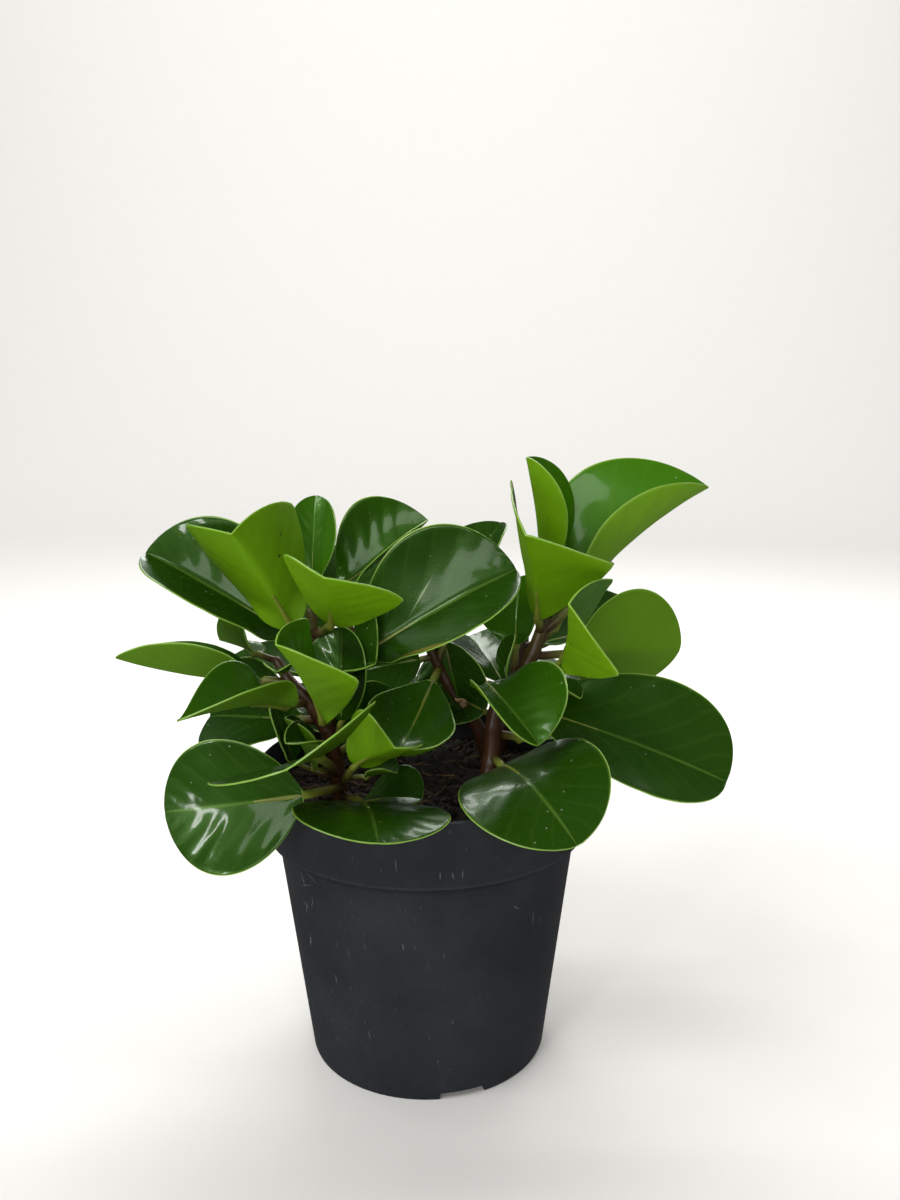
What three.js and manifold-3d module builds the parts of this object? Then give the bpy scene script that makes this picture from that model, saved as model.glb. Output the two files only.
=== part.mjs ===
// A potted peperomia: thick spoon-shaped leaves on short reddish stems in a 12 cm nursery pot.
// Millimetres, +Z up. The origin is the middle of the pot's underside, +X points to the
// viewer's right and +Y away from the viewer.

import * as THREE from 'three';
import { mergeVertices } from 'three/addons/utils/BufferGeometryUtils.js';
import Module from 'manifold-3d';

const wasm = await Module();
wasm.setup();

// Clearance kept between pieces that touch.
const GAP = 0.3;

// The pot: a thin moulded body with a wider band below the rim.
const POT_HEIGHT = 107;
const POT_BASE_RADIUS = 42.8;
const POT_BODY_TOP_RADIUS = 53.4;
const POT_BAND_START = 82.9;
const POT_BAND_RADIUS = 56.9;
const POT_RIM_RADIUS = 60;
const POT_WALL = 1.3;
const POT_SIDES = 48;

// The underside: a centre pad and a foot ring stand on the ground, the rest is raised.
const PAD_RADIUS = 14;
const FOOT_WIDTH = 6.5;
const BASE_RAISE = 2.8;
const DRAIN_COUNT = 3;
const DRAIN_TURN = -73;
const DRAIN_WIDTH = 16;
const DRAIN_DEPTH = 14;

// The soil fills the pot to a little under the rim, and its top is uneven.
const SOIL_LEVEL = 97;
const SOIL_ROUGHNESS = 1.1;
const SOIL_SIDES = 36;
const SOIL_RINGS = 6;

// Stems are tapered rods, rooted well down in the soil.
const STEM_SIDES = 8;
const ROOT_DEPTH = 38;
const STEM_FOOT = SOIL_LEVEL - ROOT_DEPTH;

// A stem is a list of rods, and a rod a list of points with the radius there. The first rod
// of a stem stands in the soil, and the others branch off it.
const STEMS = {
  stem_left: [
    [[-28, -15, STEM_FOOT, 3.2], [-29, -18, 98, 3.1], [-32, -22, 123, 2.8],
      [-36, -22, 152, 2.4], [-37, -22, 165, 1.8]],
    [[-33, -23, 125, 2.3], [-39, -24, 136, 2.2], [-45, -22, 142, 2], [-49, -20, 148, 1.6]],
  ],
  stem_right: [
    [[20, -12, STEM_FOOT, 3.4], [21, -14, 98, 3.3], [23, -12, 112, 3.1], [25, -12, 129, 2.9],
      [36, -12, 146, 2.6], [41, -12, 160, 2]],
  ],
  stem_middle: [
    [[22, 14, STEM_FOOT, 3], [23, 9, 98, 2.9], [19, 5, 116, 2.6], [10, 5, 129, 2.2],
      [2, 5, 145, 1.8]],
  ],
  stem_back_left: [
    [[-14, 22, STEM_FOOT, 3], [-16, 24, 98, 2.9], [-24, 30, 125, 2.5], [-30, 34, 148, 1.8]],
  ],
  stem_back_right: [
    [[26, 34, STEM_FOOT, 3], [28, 36, 98, 2.9], [34, 40, 125, 2.5], [38, 44, 148, 1.8]],
  ],
};

// A blade widens with the power BLADE_RISE of its length and narrows with BLADE_FALL, and is
// blunt at its tip. Its cross sections stand closer together towards the tip, by BLADE_CROWDING.
const BLADE_RISE = 0.74;
const BLADE_FALL = 0.57;
const BLADE_END = 0.985;
const BLADE_STEPS = 8;
const BLADE_CROWDING = 1.7;
const BLADE_SPLITS = 4;
const RIB_THICKNESS = 1.5;
const MARGIN_THICKNESS = 0.8;
const STALK_RADIUS = 1.5;

// Shares of a leaf's length: where the stalk's middle section stands, and where the blade has
// reached its fold and its thickness.
const STALK_MIDDLE = 0.6;
const FOLD_REACHED = 0.2;
const THICKNESS_REACHED = 0.3;

// A leaf grows on [stem, rod, place along the rod from 0 to 1] and ends at its tip. Roll leans
// the blade to its right, fold is the rise of each half from the midrib, cup is how far a half
// curls up towards its margin, and bend is the midrib's arch, all in degrees. Stalk is the
// length of the bare stalk, which points at the tip unless a knee says where it ends. Taper
// sharpens the tip.
const LEAVES = {
  leaf_left_1: { on: ['stem_left', 0, 0.76], tip: [-92, -16, 184], width: 47,
    roll: -40, fold: 30, cup: 20 },
  leaf_left_2: { on: ['stem_left', 0, 0.7], tip: [-56, -52, 195], width: 60,
    roll: 30, fold: 24, cup: 42, stalk: 18 },
  leaf_left_3: { on: ['stem_left', 0, 1], tip: [-36, -8, 202], width: 18, fold: 10, cup: 30 },
  leaf_left_4: { on: ['stem_left', 0, 0.94], tip: [1, 8, 192], width: 40,
    roll: 22, fold: 35, cup: 15, bend: -12, knee: [-29, -3, 170] },
  leaf_left_5: { on: ['stem_left', 0, 0.86], tip: [-27, -66, 184], width: 41,
    roll: -36, fold: 10, cup: 24, knee: [-28, -42, 165] },
  leaf_left_6: { on: ['stem_left', 0, 0.55], tip: [-42, -64, 164], width: 38,
    roll: -44, fold: 35, cup: 15, knee: [-31, -42, 134] },
  leaf_left_7: { on: ['stem_left', 0, 0.66], tip: [-15, -36, 151], width: 29,
    roll: 34, fold: 30, cup: 15, stalk: 13 },
  leaf_left_8: { on: ['stem_left', 0, 0.82], tip: [31, -17, 178], width: 54,
    roll: 45, fold: 28, cup: 15, knee: [-19, -24, 152] },
  leaf_left_9: { on: ['stem_left', 1, 0.6], tip: [-101, -26, 151], width: 32,
    roll: 12, fold: 38, cup: 10, bend: -20, taper: 0.8 },
  leaf_left_10: { on: ['stem_left', 1, 0.3], tip: [-72, -64, 141], width: 34,
    roll: -6, fold: 38, cup: 10, bend: 16, taper: 1.4 },
  leaf_left_11: { on: ['stem_left', 1, 1], tip: [-71, -5, 152], width: 26,
    roll: 40, fold: 20, cup: 20 },
  leaf_left_12: { on: ['stem_left', 1, 0.8], tip: [-47, -34, 148], width: 12,
    fold: 20, cup: 20, stalk: 4 },
  leaf_left_13: { on: ['stem_left', 1, 0.1], tip: [-75, -8, 125], width: 42,
    roll: -45, fold: 20, cup: 20 },
  leaf_left_14: { on: ['stem_left', 0, 0.47], tip: [-43, -46, 128], width: 14,
    roll: -30, fold: 30, cup: 20, stalk: 6 },
  leaf_left_15: { on: ['stem_left', 0, 0.36], tip: [-39, -30, 118], width: 10,
    roll: -30, fold: 30, cup: 20, stalk: 6 },
  leaf_left_16: { on: ['stem_left', 0, 0.3], tip: [-81, -50, 107], width: 43,
    roll: -84, fold: 4, cup: 12, bend: 14, knee: [-37, -52, 113] },
  leaf_left_17: { on: ['stem_left', 0, 0.34], tip: [-36, -90, 135], width: 56,
    roll: 27, fold: 6, cup: 12, knee: [-32, -50, 125] },
  leaf_left_18: { on: ['stem_left', 0, 0.27], tip: [-12, -82, 110], width: 48,
    roll: -7, fold: -2, cup: 10, bend: 34, knee: [-19, -48, 109] },
  leaf_left_19: { on: ['stem_left', 0, 0.33], tip: [-9, -24, 110], width: 18, fold: 20, cup: 20 },
  leaf_right_1: { on: ['stem_right', 0, 0.66], tip: [36, -50, 128], width: 43,
    roll: 8, fold: 30, cup: 34, knee: [21, -24, 141] },
  leaf_right_2: { on: ['stem_right', 0, 0.4], tip: [45, -80, 108], width: 47,
    roll: 20, fold: 5, cup: 10, bend: 50 },
  leaf_right_3: { on: ['stem_right', 0, 0.64], tip: [99, -35, 110], width: 52,
    roll: 10, fold: 42, cup: 5, taper: 0.45 },
  leaf_right_4: { on: ['stem_right', 0, 0.5], tip: [78, 5, 102], width: 34,
    fold: 10, cup: 10, bend: 40 },
  leaf_right_5: { on: ['stem_right', 0, 0.82], tip: [91, 5, 146], width: 44,
    roll: -70, fold: 10, cup: 10, stalk: 14 },
  leaf_right_6: { on: ['stem_right', 0, 0.74], tip: [43, -66, 176], width: 44,
    roll: -90, fold: 30, cup: 24, knee: [44, -34, 149] },
  leaf_right_7: { on: ['stem_right', 0, 0.86], tip: [67, 8, 176], width: 30,
    roll: -60, fold: 20, cup: 20 },
  leaf_right_8: { on: ['stem_right', 0, 0.94], tip: [31, -58, 195], width: 51,
    roll: -34, fold: 20, cup: 30 },
  leaf_right_9: { on: ['stem_right', 0, 1], tip: [34, -16, 215], width: 28,
    fold: 40, cup: 30, stalk: 13 },
  leaf_right_10: { on: ['stem_right', 0, 0.93], tip: [96, -6, 204], width: 54,
    roll: 17, fold: 45, cup: 15, bend: 30, taper: 0.8, stalk: 14 },
  leaf_right_11: { on: ['stem_right', 0, 0.7], tip: [34, 10, 171], width: 30,
    roll: -20, fold: 20, cup: 20, stalk: 14 },
  leaf_right_12: { on: ['stem_right', 0, 0.6], tip: [31, -9, 154], width: 10, fold: 20, cup: 20 },
  leaf_right_13: { on: ['stem_right', 0, 0.72], tip: [52, -25, 136], width: 14, fold: 20, cup: 20 },
  leaf_middle_1: { on: ['stem_middle', 0, 1], tip: [28, 30, 188], width: 32, fold: 20, cup: 20 },
  leaf_middle_2: { on: ['stem_middle', 0, 0.9], tip: [-9, -50, 128], width: 40,
    roll: -20, fold: 10, cup: 60, bend: -110 },
  leaf_middle_3: { on: ['stem_middle', 0, 0.52], tip: [-6, 62, 120], width: 38, fold: 20, cup: 20 },
  dried_leaf: { on: ['stem_middle', 0, 0.6], tip: [11, -6, 130], width: 5,
    fold: 35, cup: 30, stalk: 4 },
  leaf_back_left_1: { on: ['stem_back_left', 0, 0.9], tip: [-90, 58, 162], width: 44,
    roll: -20, fold: 25, cup: 20 },
  leaf_back_left_2: { on: ['stem_back_left', 0, 1], tip: [-37, 62, 175], width: 42,
    roll: 15, fold: 30, cup: 20 },
  leaf_back_left_3: { on: ['stem_back_left', 0, 0.85], tip: [7, 78, 145], width: 46,
    roll: 20, fold: 20, cup: 20 },
  leaf_back_left_4: { on: ['stem_back_left', 0, 0.68], tip: [-86, 52, 127], width: 42,
    fold: 15, cup: 20 },
  leaf_back_left_5: { on: ['stem_back_left', 0, 0.6], tip: [-44, 92, 111], width: 44,
    roll: 10, fold: 15, cup: 20 },
  leaf_back_left_6: { on: ['stem_back_left', 0, 0.36], tip: [-74, 56, 112], width: 44,
    fold: 10, cup: 15, bend: 24 },
  leaf_back_right_1: { on: ['stem_back_right', 0, 1], tip: [83, 48, 187], width: 44,
    roll: 15, fold: 35, cup: 15 },
  leaf_back_right_2: { on: ['stem_back_right', 0, 0.85], tip: [93, 66, 141], width: 46,
    roll: 10, fold: 20, cup: 20 },
  leaf_back_right_3: { on: ['stem_back_right', 0, 0.72], tip: [109, 38, 108], width: 40,
    fold: 15, cup: 20 },
  leaf_back_right_4: { on: ['stem_back_right', 0, 0.92], tip: [49, 104, 149], width: 44,
    roll: -15, fold: 20, cup: 20 },
  leaf_back_right_5: { on: ['stem_back_right', 0, 0.6], tip: [17, 90, 131], width: 42,
    fold: 20, cup: 20 },
  leaf_back_right_6: { on: ['stem_back_right', 0, 0.46], tip: [64, 86, 118], width: 46,
    fold: 10, cup: 15, bend: 24 },
};

const COLOURS = {
  pot: '#343538',
  soil: '#2a1f17',
  stem: '#5b3322',
  leaf: '#2f5f1c',
};

const UP = new THREE.Vector3(0, 0, 1);
const rad = THREE.MathUtils.degToRad;
const { lerp, smoothstep } = THREE.MathUtils;

// ---- Solids ----

function toManifold(geometry) {
  const bare = geometry.clone();
  bare.deleteAttribute('normal');
  bare.deleteAttribute('uv');
  const merged = mergeVertices(bare, 1e-4);
  return new wasm.Manifold(new wasm.Mesh({
    numProp: 3,
    vertProperties: new Float32Array(merged.attributes.position.array),
    triVerts: new Uint32Array(merged.index.array),
  }));
}

function toGeometry(manifold) {
  const mesh = manifold.getMesh();
  const geometry = new THREE.BufferGeometry();
  geometry.setAttribute('position', new THREE.BufferAttribute(mesh.vertProperties, 3));
  geometry.setIndex(new THREE.BufferAttribute(mesh.triVerts, 1));
  geometry.computeVertexNormals();
  return geometry;
}

// A closed skin over rings of points. A ring runs over the top of a section and back along its
// underside, so its i-th point faces its i-th from last. Quads on the underside are split the
// other way, which puts their diagonals right below those of the top.
function skin(rings) {
  const count = rings[0].length;
  const half = count / 2;
  const positions = rings.flat().flatMap((p) => [p.x, p.y, p.z]);
  const index = [];
  for (let r = 0; r + 1 < rings.length; r += 1) {
    for (let i = 0; i < count; i += 1) {
      const a = r * count + i;
      const b = r * count + (i + 1) % count;
      if (i < half) index.push(a, b, b + count, a, b + count, a + count);
      else index.push(a, b, a + count, b, b + count, a + count);
    }
  }
  const last = (rings.length - 1) * count;
  for (let i = 0; i + 1 < half; i += 1) {
    const under = count - 1 - i;
    index.push(i + 1, i, under, i + 1, under, under - 1);
    index.push(last + i, last + i + 1, last + under - 1, last + i, last + under - 1, last + under);
  }
  const geometry = new THREE.BufferGeometry();
  geometry.setAttribute('position', new THREE.Float32BufferAttribute(positions, 3));
  geometry.setIndex(index);
  return geometry;
}

// ---- Stems ----

function rodCurve(rod) {
  return new THREE.CatmullRomCurve3(rod.map(([x, y, z]) => new THREE.Vector3(x, y, z)));
}

function rodRadius(rod, share) {
  const place = share * (rod.length - 1);
  const i = Math.min(Math.floor(place), rod.length - 2);
  return lerp(rod[i][3], rod[i + 1][3], place - i);
}

function rodSolid(rod, extra) {
  const curve = rodCurve(rod);
  const steps = 3 * (rod.length - 1);
  const side = new THREE.Vector3(1, 0, 0);
  const rings = [];
  for (let s = 0; s <= steps; s += 1) {
    const share = s / steps;
    const centre = curve.getPoint(share);
    const forward = curve.getTangent(share);
    const left = new THREE.Vector3().crossVectors(forward, side).normalize();
    const right = new THREE.Vector3().crossVectors(left, forward);
    const radius = rodRadius(rod, share) + extra;
    const ring = [];
    for (let i = 0; i < STEM_SIDES; i += 1) {
      const turn = (2 * Math.PI * (i + 0.5)) / STEM_SIDES;
      ring.push(centre.clone()
        .addScaledVector(right, radius * Math.cos(turn))
        .addScaledVector(left, radius * Math.sin(turn)));
    }
    rings.push(ring);
  }
  return toManifold(skin(rings));
}

// The rods of a stem joined into one solid, grown by extra all round.
function stemSolid(name, extra = 0) {
  return STEMS[name].map((rod) => rodSolid(rod, extra)).reduce((all, rod) => all.add(rod));
}

// ---- Leaves ----

function bladeHalfWidth(t, width, taper) {
  const widest = BLADE_RISE / (BLADE_RISE + taper);
  const rise = (t / widest) ** BLADE_RISE;
  const fall = ((1 - t) / (1 - widest)) ** taper;
  return (width / 2) * rise * fall;
}

// The midrib as an arc over the chord from base to tip: a frame at a share u of its length.
function midrib(base, tip, roll, bend) {
  const chord = new THREE.Vector3().subVectors(tip, base);
  const length = chord.length();
  const forward = chord.normalize();
  const right = new THREE.Vector3().crossVectors(forward, UP).normalize();
  right.applyAxisAngle(forward, rad(roll));
  const up = new THREE.Vector3().crossVectors(right, forward);
  const turn = rad(Math.abs(bend) < 1 ? 1 : bend);
  const radius = length / (2 * Math.sin(turn / 2));
  return (u) => {
    const angle = turn / 2 - turn * u;
    const place = base.clone()
      .addScaledVector(forward, radius * (Math.sin(turn / 2) - Math.sin(angle)))
      .addScaledVector(up, radius * (Math.cos(angle) - Math.cos(turn / 2)));
    const normal = up.clone().multiplyScalar(Math.cos(angle))
      .addScaledVector(forward, -Math.sin(angle));
    return { place, right, normal };
  };
}

// A frame turned from one heading part of the way towards another and moved to a place.
function turnedFrame(frame, from, to, share, place) {
  const whole = new THREE.Quaternion().setFromUnitVectors(from, to);
  const turn = new THREE.Quaternion().slerp(whole, share);
  return {
    place,
    right: frame.right.clone().applyQuaternion(turn),
    normal: frame.normal.clone().applyQuaternion(turn),
  };
}

function leafSection({ place, right, normal }, halfWidth, foldTurn, cupTurn, ribThickness) {
  const top = [];
  const under = [];
  for (let i = 0; i <= BLADE_SPLITS; i += 1) {
    const v = (2 * i) / BLADE_SPLITS - 1;
    const out = Math.abs(v);
    const turn = Math.max(cupTurn, 1e-3);
    const slope = foldTurn + turn * out;
    const across = (halfWidth * (Math.sin(slope) - Math.sin(foldTurn))) / turn;
    const rise = (halfWidth * (Math.cos(foldTurn) - Math.cos(slope))) / turn;
    const lean = out === 0 ? 0 : slope;
    const thick = lerp(ribThickness, MARGIN_THICKNESS, out) / 2;
    const centre = place.clone()
      .addScaledVector(right, Math.sign(v) * across)
      .addScaledVector(normal, rise);
    const face = normal.clone().multiplyScalar(Math.cos(lean))
      .addScaledVector(right, -Math.sign(v) * Math.sin(lean));
    top.push(centre.clone().addScaledVector(face, thick));
    under.push(centre.clone().addScaledVector(face, -thick));
  }
  return [...top, ...under.reverse()];
}

function leafGeometry(root, leaf) {
  const { width, roll = 0, fold = 15, cup = 25, bend = 10, stalk = 10, taper = BLADE_FALL } = leaf;
  const tip = new THREE.Vector3(...leaf.tip);
  const whole = root.distanceTo(tip);
  const base = leaf.knee ? new THREE.Vector3(...leaf.knee) : root.clone().lerp(tip, stalk / whole);
  const frameAt = midrib(base, tip, roll, bend);
  const first = frameAt(0);
  const heading = new THREE.Vector3().crossVectors(first.normal, first.right);
  const stalkHeading = new THREE.Vector3().subVectors(base, root).normalize();
  const stalkFrame = (share, place) => turnedFrame(first, heading, stalkHeading, share, place);
  const round = (frame) => leafSection(frame, STALK_RADIUS, 0, 0, 2 * STALK_RADIUS);
  const rings = [
    round(stalkFrame(1, root)),
    round(stalkFrame(1, root.clone().lerp(base, STALK_MIDDLE))),
  ];
  for (let step = 0; step <= BLADE_STEPS; step += 1) {
    const t = BLADE_END * (1 - (1 - step / BLADE_STEPS) ** BLADE_CROWDING);
    const blade = bladeHalfWidth(t, width, taper);
    const half = Math.hypot(blade, STALK_RADIUS * (1 - t));
    const foldTurn = rad(fold) * smoothstep(t, 0, FOLD_REACHED);
    const cupTurn = rad(cup) * (blade / (width / 2));
    const thickness = lerp(2 * STALK_RADIUS, RIB_THICKNESS, smoothstep(t, 0, THICKNESS_REACHED));
    const frame = step === 0 ? stalkFrame(0.5, base) : frameAt(t);
    rings.push(leafSection(frame, half, foldTurn, cupTurn, thickness));
  }
  return skin(rings);
}

// A leaf's root starts on its stem's axis, and the stem and its clearance are cut from it.
function leafSolid(leaf) {
  const [stem, rod, place] = leaf.on;
  const root = rodCurve(STEMS[stem][rod]).getPoint(place);
  return toManifold(leafGeometry(root, leaf)).subtract(stemSolid(stem, GAP));
}

// ---- Pot and soil ----

// The pot's outer radius at a height on its body.
function bodyRadius(z) {
  return lerp(POT_BASE_RADIUS, POT_BODY_TOP_RADIUS, z / POT_BAND_START);
}

function potSolid() {
  const floor = BASE_RAISE + POT_WALL;
  const foot = POT_BASE_RADIUS - FOOT_WIDTH;
  const step = POT_BAND_START + POT_WALL;
  const profile = [
    [0, 0], [PAD_RADIUS, 0], [PAD_RADIUS + 1, BASE_RAISE], [foot - 1, BASE_RAISE], [foot, 0],
    [POT_BASE_RADIUS - 0.8, 0], [POT_BASE_RADIUS, 0.8],
    [POT_BODY_TOP_RADIUS, POT_BAND_START], [POT_BAND_RADIUS - 0.6, POT_BAND_START],
    [POT_BAND_RADIUS, POT_BAND_START + 0.6], [POT_RIM_RADIUS, POT_HEIGHT - 0.6],
    [POT_RIM_RADIUS - 0.4, POT_HEIGHT], [POT_RIM_RADIUS - POT_WALL, POT_HEIGHT],
    [POT_BAND_RADIUS - POT_WALL, step], [POT_BODY_TOP_RADIUS - POT_WALL, step],
    [bodyRadius(floor) - POT_WALL, floor], [0, floor],
  ];
  const points = profile.map(([r, z]) => new THREE.Vector2(r, z));
  const lathe = new THREE.LatheGeometry(points, POT_SIDES);
  lathe.rotateX(Math.PI / 2);
  return toManifold(lathe);
}

function drainCutter(turn) {
  const cutter = new THREE.BoxGeometry(DRAIN_DEPTH, DRAIN_WIDTH, 2 * (BASE_RAISE + 0.4));
  cutter.translate(POT_BASE_RADIUS - DRAIN_DEPTH / 2 + 2, 0, 0);
  cutter.rotateZ(turn);
  return toManifold(cutter);
}

function drainedPot() {
  let solid = potSolid();
  for (let i = 0; i < DRAIN_COUNT; i += 1) {
    const turn = (2 * Math.PI * i) / DRAIN_COUNT + rad(DRAIN_TURN);
    solid = solid.subtract(drainCutter(turn));
  }
  return solid;
}

// The height of the uneven soil top.
function soilTop(x, y) {
  const wave = Math.sin(0.19 * x + 1.3) * Math.cos(0.23 * y) + 0.6 * Math.sin(0.11 * (x + 2 * y));
  return SOIL_LEVEL + (SOIL_ROUGHNESS / 1.6) * wave;
}

// The soil stands on the pot's floor, a clearance off its wall, with a hole for each stem.
function soilSolid() {
  const floor = BASE_RAISE + POT_WALL;
  const inner = POT_WALL + GAP;
  const ledge = POT_BAND_START + inner;
  const bandRadius = lerp(POT_BAND_RADIUS, POT_RIM_RADIUS, 0.4) - inner;
  const ringOf = (radius, height) => {
    const ring = [];
    for (let i = 0; i < SOIL_SIDES; i += 1) {
      const turn = (2 * Math.PI * i) / SOIL_SIDES;
      const x = radius * Math.cos(turn);
      const y = radius * Math.sin(turn);
      ring.push(new THREE.Vector3(x, y, height ?? soilTop(x, y)));
    }
    return ring;
  };
  const rings = [
    ringOf(bodyRadius(floor) - inner, floor),
    ringOf(POT_BODY_TOP_RADIUS - inner, ledge),
    ringOf(POT_BAND_RADIUS - inner - 0.2, ledge),
    ringOf(bandRadius),
  ];
  for (let i = SOIL_RINGS - 1; i > 0; i -= 1) rings.push(ringOf((bandRadius * i) / SOIL_RINGS));
  return closedStack(rings, soilTop(0, 0));
}

// Rings joined from the bottom up, closed by a flat base and by a point in the middle on top.
function closedStack(rings, middle) {
  const count = rings[0].length;
  const positions = rings.flat().flatMap((p) => [p.x, p.y, p.z]);
  const foot = rings.length * count;
  positions.push(0, 0, rings[0][0].z, 0, 0, middle);
  const index = [];
  const last = (rings.length - 1) * count;
  for (let i = 0; i < count; i += 1) {
    const next = (i + 1) % count;
    index.push(foot, next, i, foot + 1, last + i, last + next);
    for (let r = 0; r + 1 < rings.length; r += 1) {
      const a = r * count + i;
      const b = r * count + next;
      index.push(a, b, b + count, a, b + count, a + count);
    }
  }
  const geometry = new THREE.BufferGeometry();
  geometry.setAttribute('position', new THREE.Float32BufferAttribute(positions, 3));
  geometry.setIndex(index);
  return Object.keys(STEMS).reduce(
    (solid, name) => solid.subtract(stemSolid(name, GAP)),
    toManifold(geometry),
  );
}

function build() {
  const group = new THREE.Group();
  const put = (name, solid, colour, roughness) => {
    const material = new THREE.MeshStandardMaterial({ color: colour, roughness, metalness: 0 });
    const mesh = new THREE.Mesh(toGeometry(solid), material);
    mesh.name = name;
    group.add(mesh);
  };
  put('pot', drainedPot(), COLOURS.pot, 0.6);
  put('soil', soilSolid(), COLOURS.soil, 0.95);
  for (const name of Object.keys(STEMS)) put(name, stemSolid(name), COLOURS.stem, 0.6);
  for (const [name, leaf] of Object.entries(LEAVES)) put(name, leafSolid(leaf), COLOURS.leaf, 0.35);
  return group;
}

export default build();
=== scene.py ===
"""A potted peperomia: a bushy plant with thick glossy leaves in a 12 cm nursery pot.

Lengths in the tables are millimetres. The origin is the middle of the pot's underside, +X
points to the viewer's right, +Y away from the viewer and +Z up.
"""

import math
import random

import bpy
from bpy.props import FloatProperty, FloatVectorProperty, IntProperty, PointerProperty
from mathutils import Matrix, Quaternion, Vector, noise


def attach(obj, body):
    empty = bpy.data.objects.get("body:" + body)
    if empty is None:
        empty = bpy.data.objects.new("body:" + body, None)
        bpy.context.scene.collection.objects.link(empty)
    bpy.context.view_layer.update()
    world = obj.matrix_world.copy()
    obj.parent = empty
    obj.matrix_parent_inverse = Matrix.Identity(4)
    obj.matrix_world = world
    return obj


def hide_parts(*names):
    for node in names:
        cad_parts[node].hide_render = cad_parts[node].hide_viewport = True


bl_info = {
    "name": "Potted Peperomia",
    "version": (1, 0, 0),
    "blender": (4, 5, 0),
    "location": "3D Viewport > Sidebar > Peperomia",
    "description": "Builds a potted peperomia around its packed solids",
    "category": "Object",
}

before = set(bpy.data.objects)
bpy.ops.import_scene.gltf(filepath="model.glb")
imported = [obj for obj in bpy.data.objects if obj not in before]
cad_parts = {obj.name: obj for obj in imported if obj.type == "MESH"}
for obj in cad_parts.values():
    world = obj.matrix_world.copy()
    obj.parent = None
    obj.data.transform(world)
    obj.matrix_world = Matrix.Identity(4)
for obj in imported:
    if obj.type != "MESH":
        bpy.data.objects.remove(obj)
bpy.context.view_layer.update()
MM = 0.001

# The soil's top, and how deep the stems are rooted in it.
SOIL_LEVEL = 97
ROOT_DEPTH = 38
STEM_FOOT = SOIL_LEVEL - ROOT_DEPTH

# ---- The camera, in millimetres, degrees and pixels of its frame ----

CAMERA_PLACE = (8.85, -371.85, 236.28)
CAMERA_PITCH = 10.91
CAMERA_ROLL = -0.29
CAMERA_LENS = 32.538
CAMERA_SENSOR = 36
FRAME_WIDTH = 900
FRAME_HEIGHT = 1200


def camera_axes():
    """The camera's right, upward and forward directions."""
    pitch, roll = math.radians(CAMERA_PITCH), math.radians(CAMERA_ROLL)
    look = Vector((0, math.cos(pitch), -math.sin(pitch)))
    level = Vector((1, 0, 0))
    top = level.cross(look)
    right = level * math.cos(roll) + top * math.sin(roll)
    upward = top * math.cos(roll) - level * math.sin(roll)
    return right, upward, look


def seen(across, down, depth):
    """The point, in whole millimetres, that the camera sees at a pixel, with depth as its y."""
    right, upward, look = camera_axes()
    focal = CAMERA_LENS / CAMERA_SENSOR * FRAME_HEIGHT
    sideways, rise = (across - FRAME_WIDTH / 2) / focal, (FRAME_HEIGHT / 2 - down) / focal
    ray = look + right * sideways + upward * rise
    eye = Vector(CAMERA_PLACE)
    x, _, z = eye + ray * (depth - eye.y) / ray.y
    return round(x), depth, round(z)


# ---- What grows where ----

# Rods of [x, y, z, radius]. The first rod of a stem stands in the soil.
STEMS = {
    "stem_left": [
        [(-28, -15, STEM_FOOT, 3.2), (-29, -18, 98, 3.1), (-32, -22, 123, 2.8),
         (-36, -22, 152, 2.4), (-37, -22, 165, 1.8)],
        [(-33, -23, 125, 2.3), (-39, -24, 136, 2.2), (-45, -22, 142, 2), (-49, -20, 148, 1.6)],
    ],
    "stem_right": [
        [(20, -12, STEM_FOOT, 3.4), (21, -14, 98, 3.3), (23, -12, 112, 3.1), (25, -12, 129, 2.9),
         (36, -12, 146, 2.6), (41, -12, 160, 2)],
    ],
    "stem_middle": [
        [(22, 14, STEM_FOOT, 3), (23, 9, 98, 2.9), (19, 5, 116, 2.6),
         (10, 5, 129, 2.2), (2, 5, 145, 1.8)],
    ],
    "stem_back_left": [
        [(-14, 22, STEM_FOOT, 3), (-16, 24, 98, 2.9), (-24, 30, 125, 2.5), (-30, 34, 148, 1.8)],
    ],
    "stem_back_right": [
        [(26, 34, STEM_FOOT, 3), (28, 36, 98, 2.9), (34, 40, 125, 2.5), (38, 44, 148, 1.8)],
    ],
}

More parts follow.
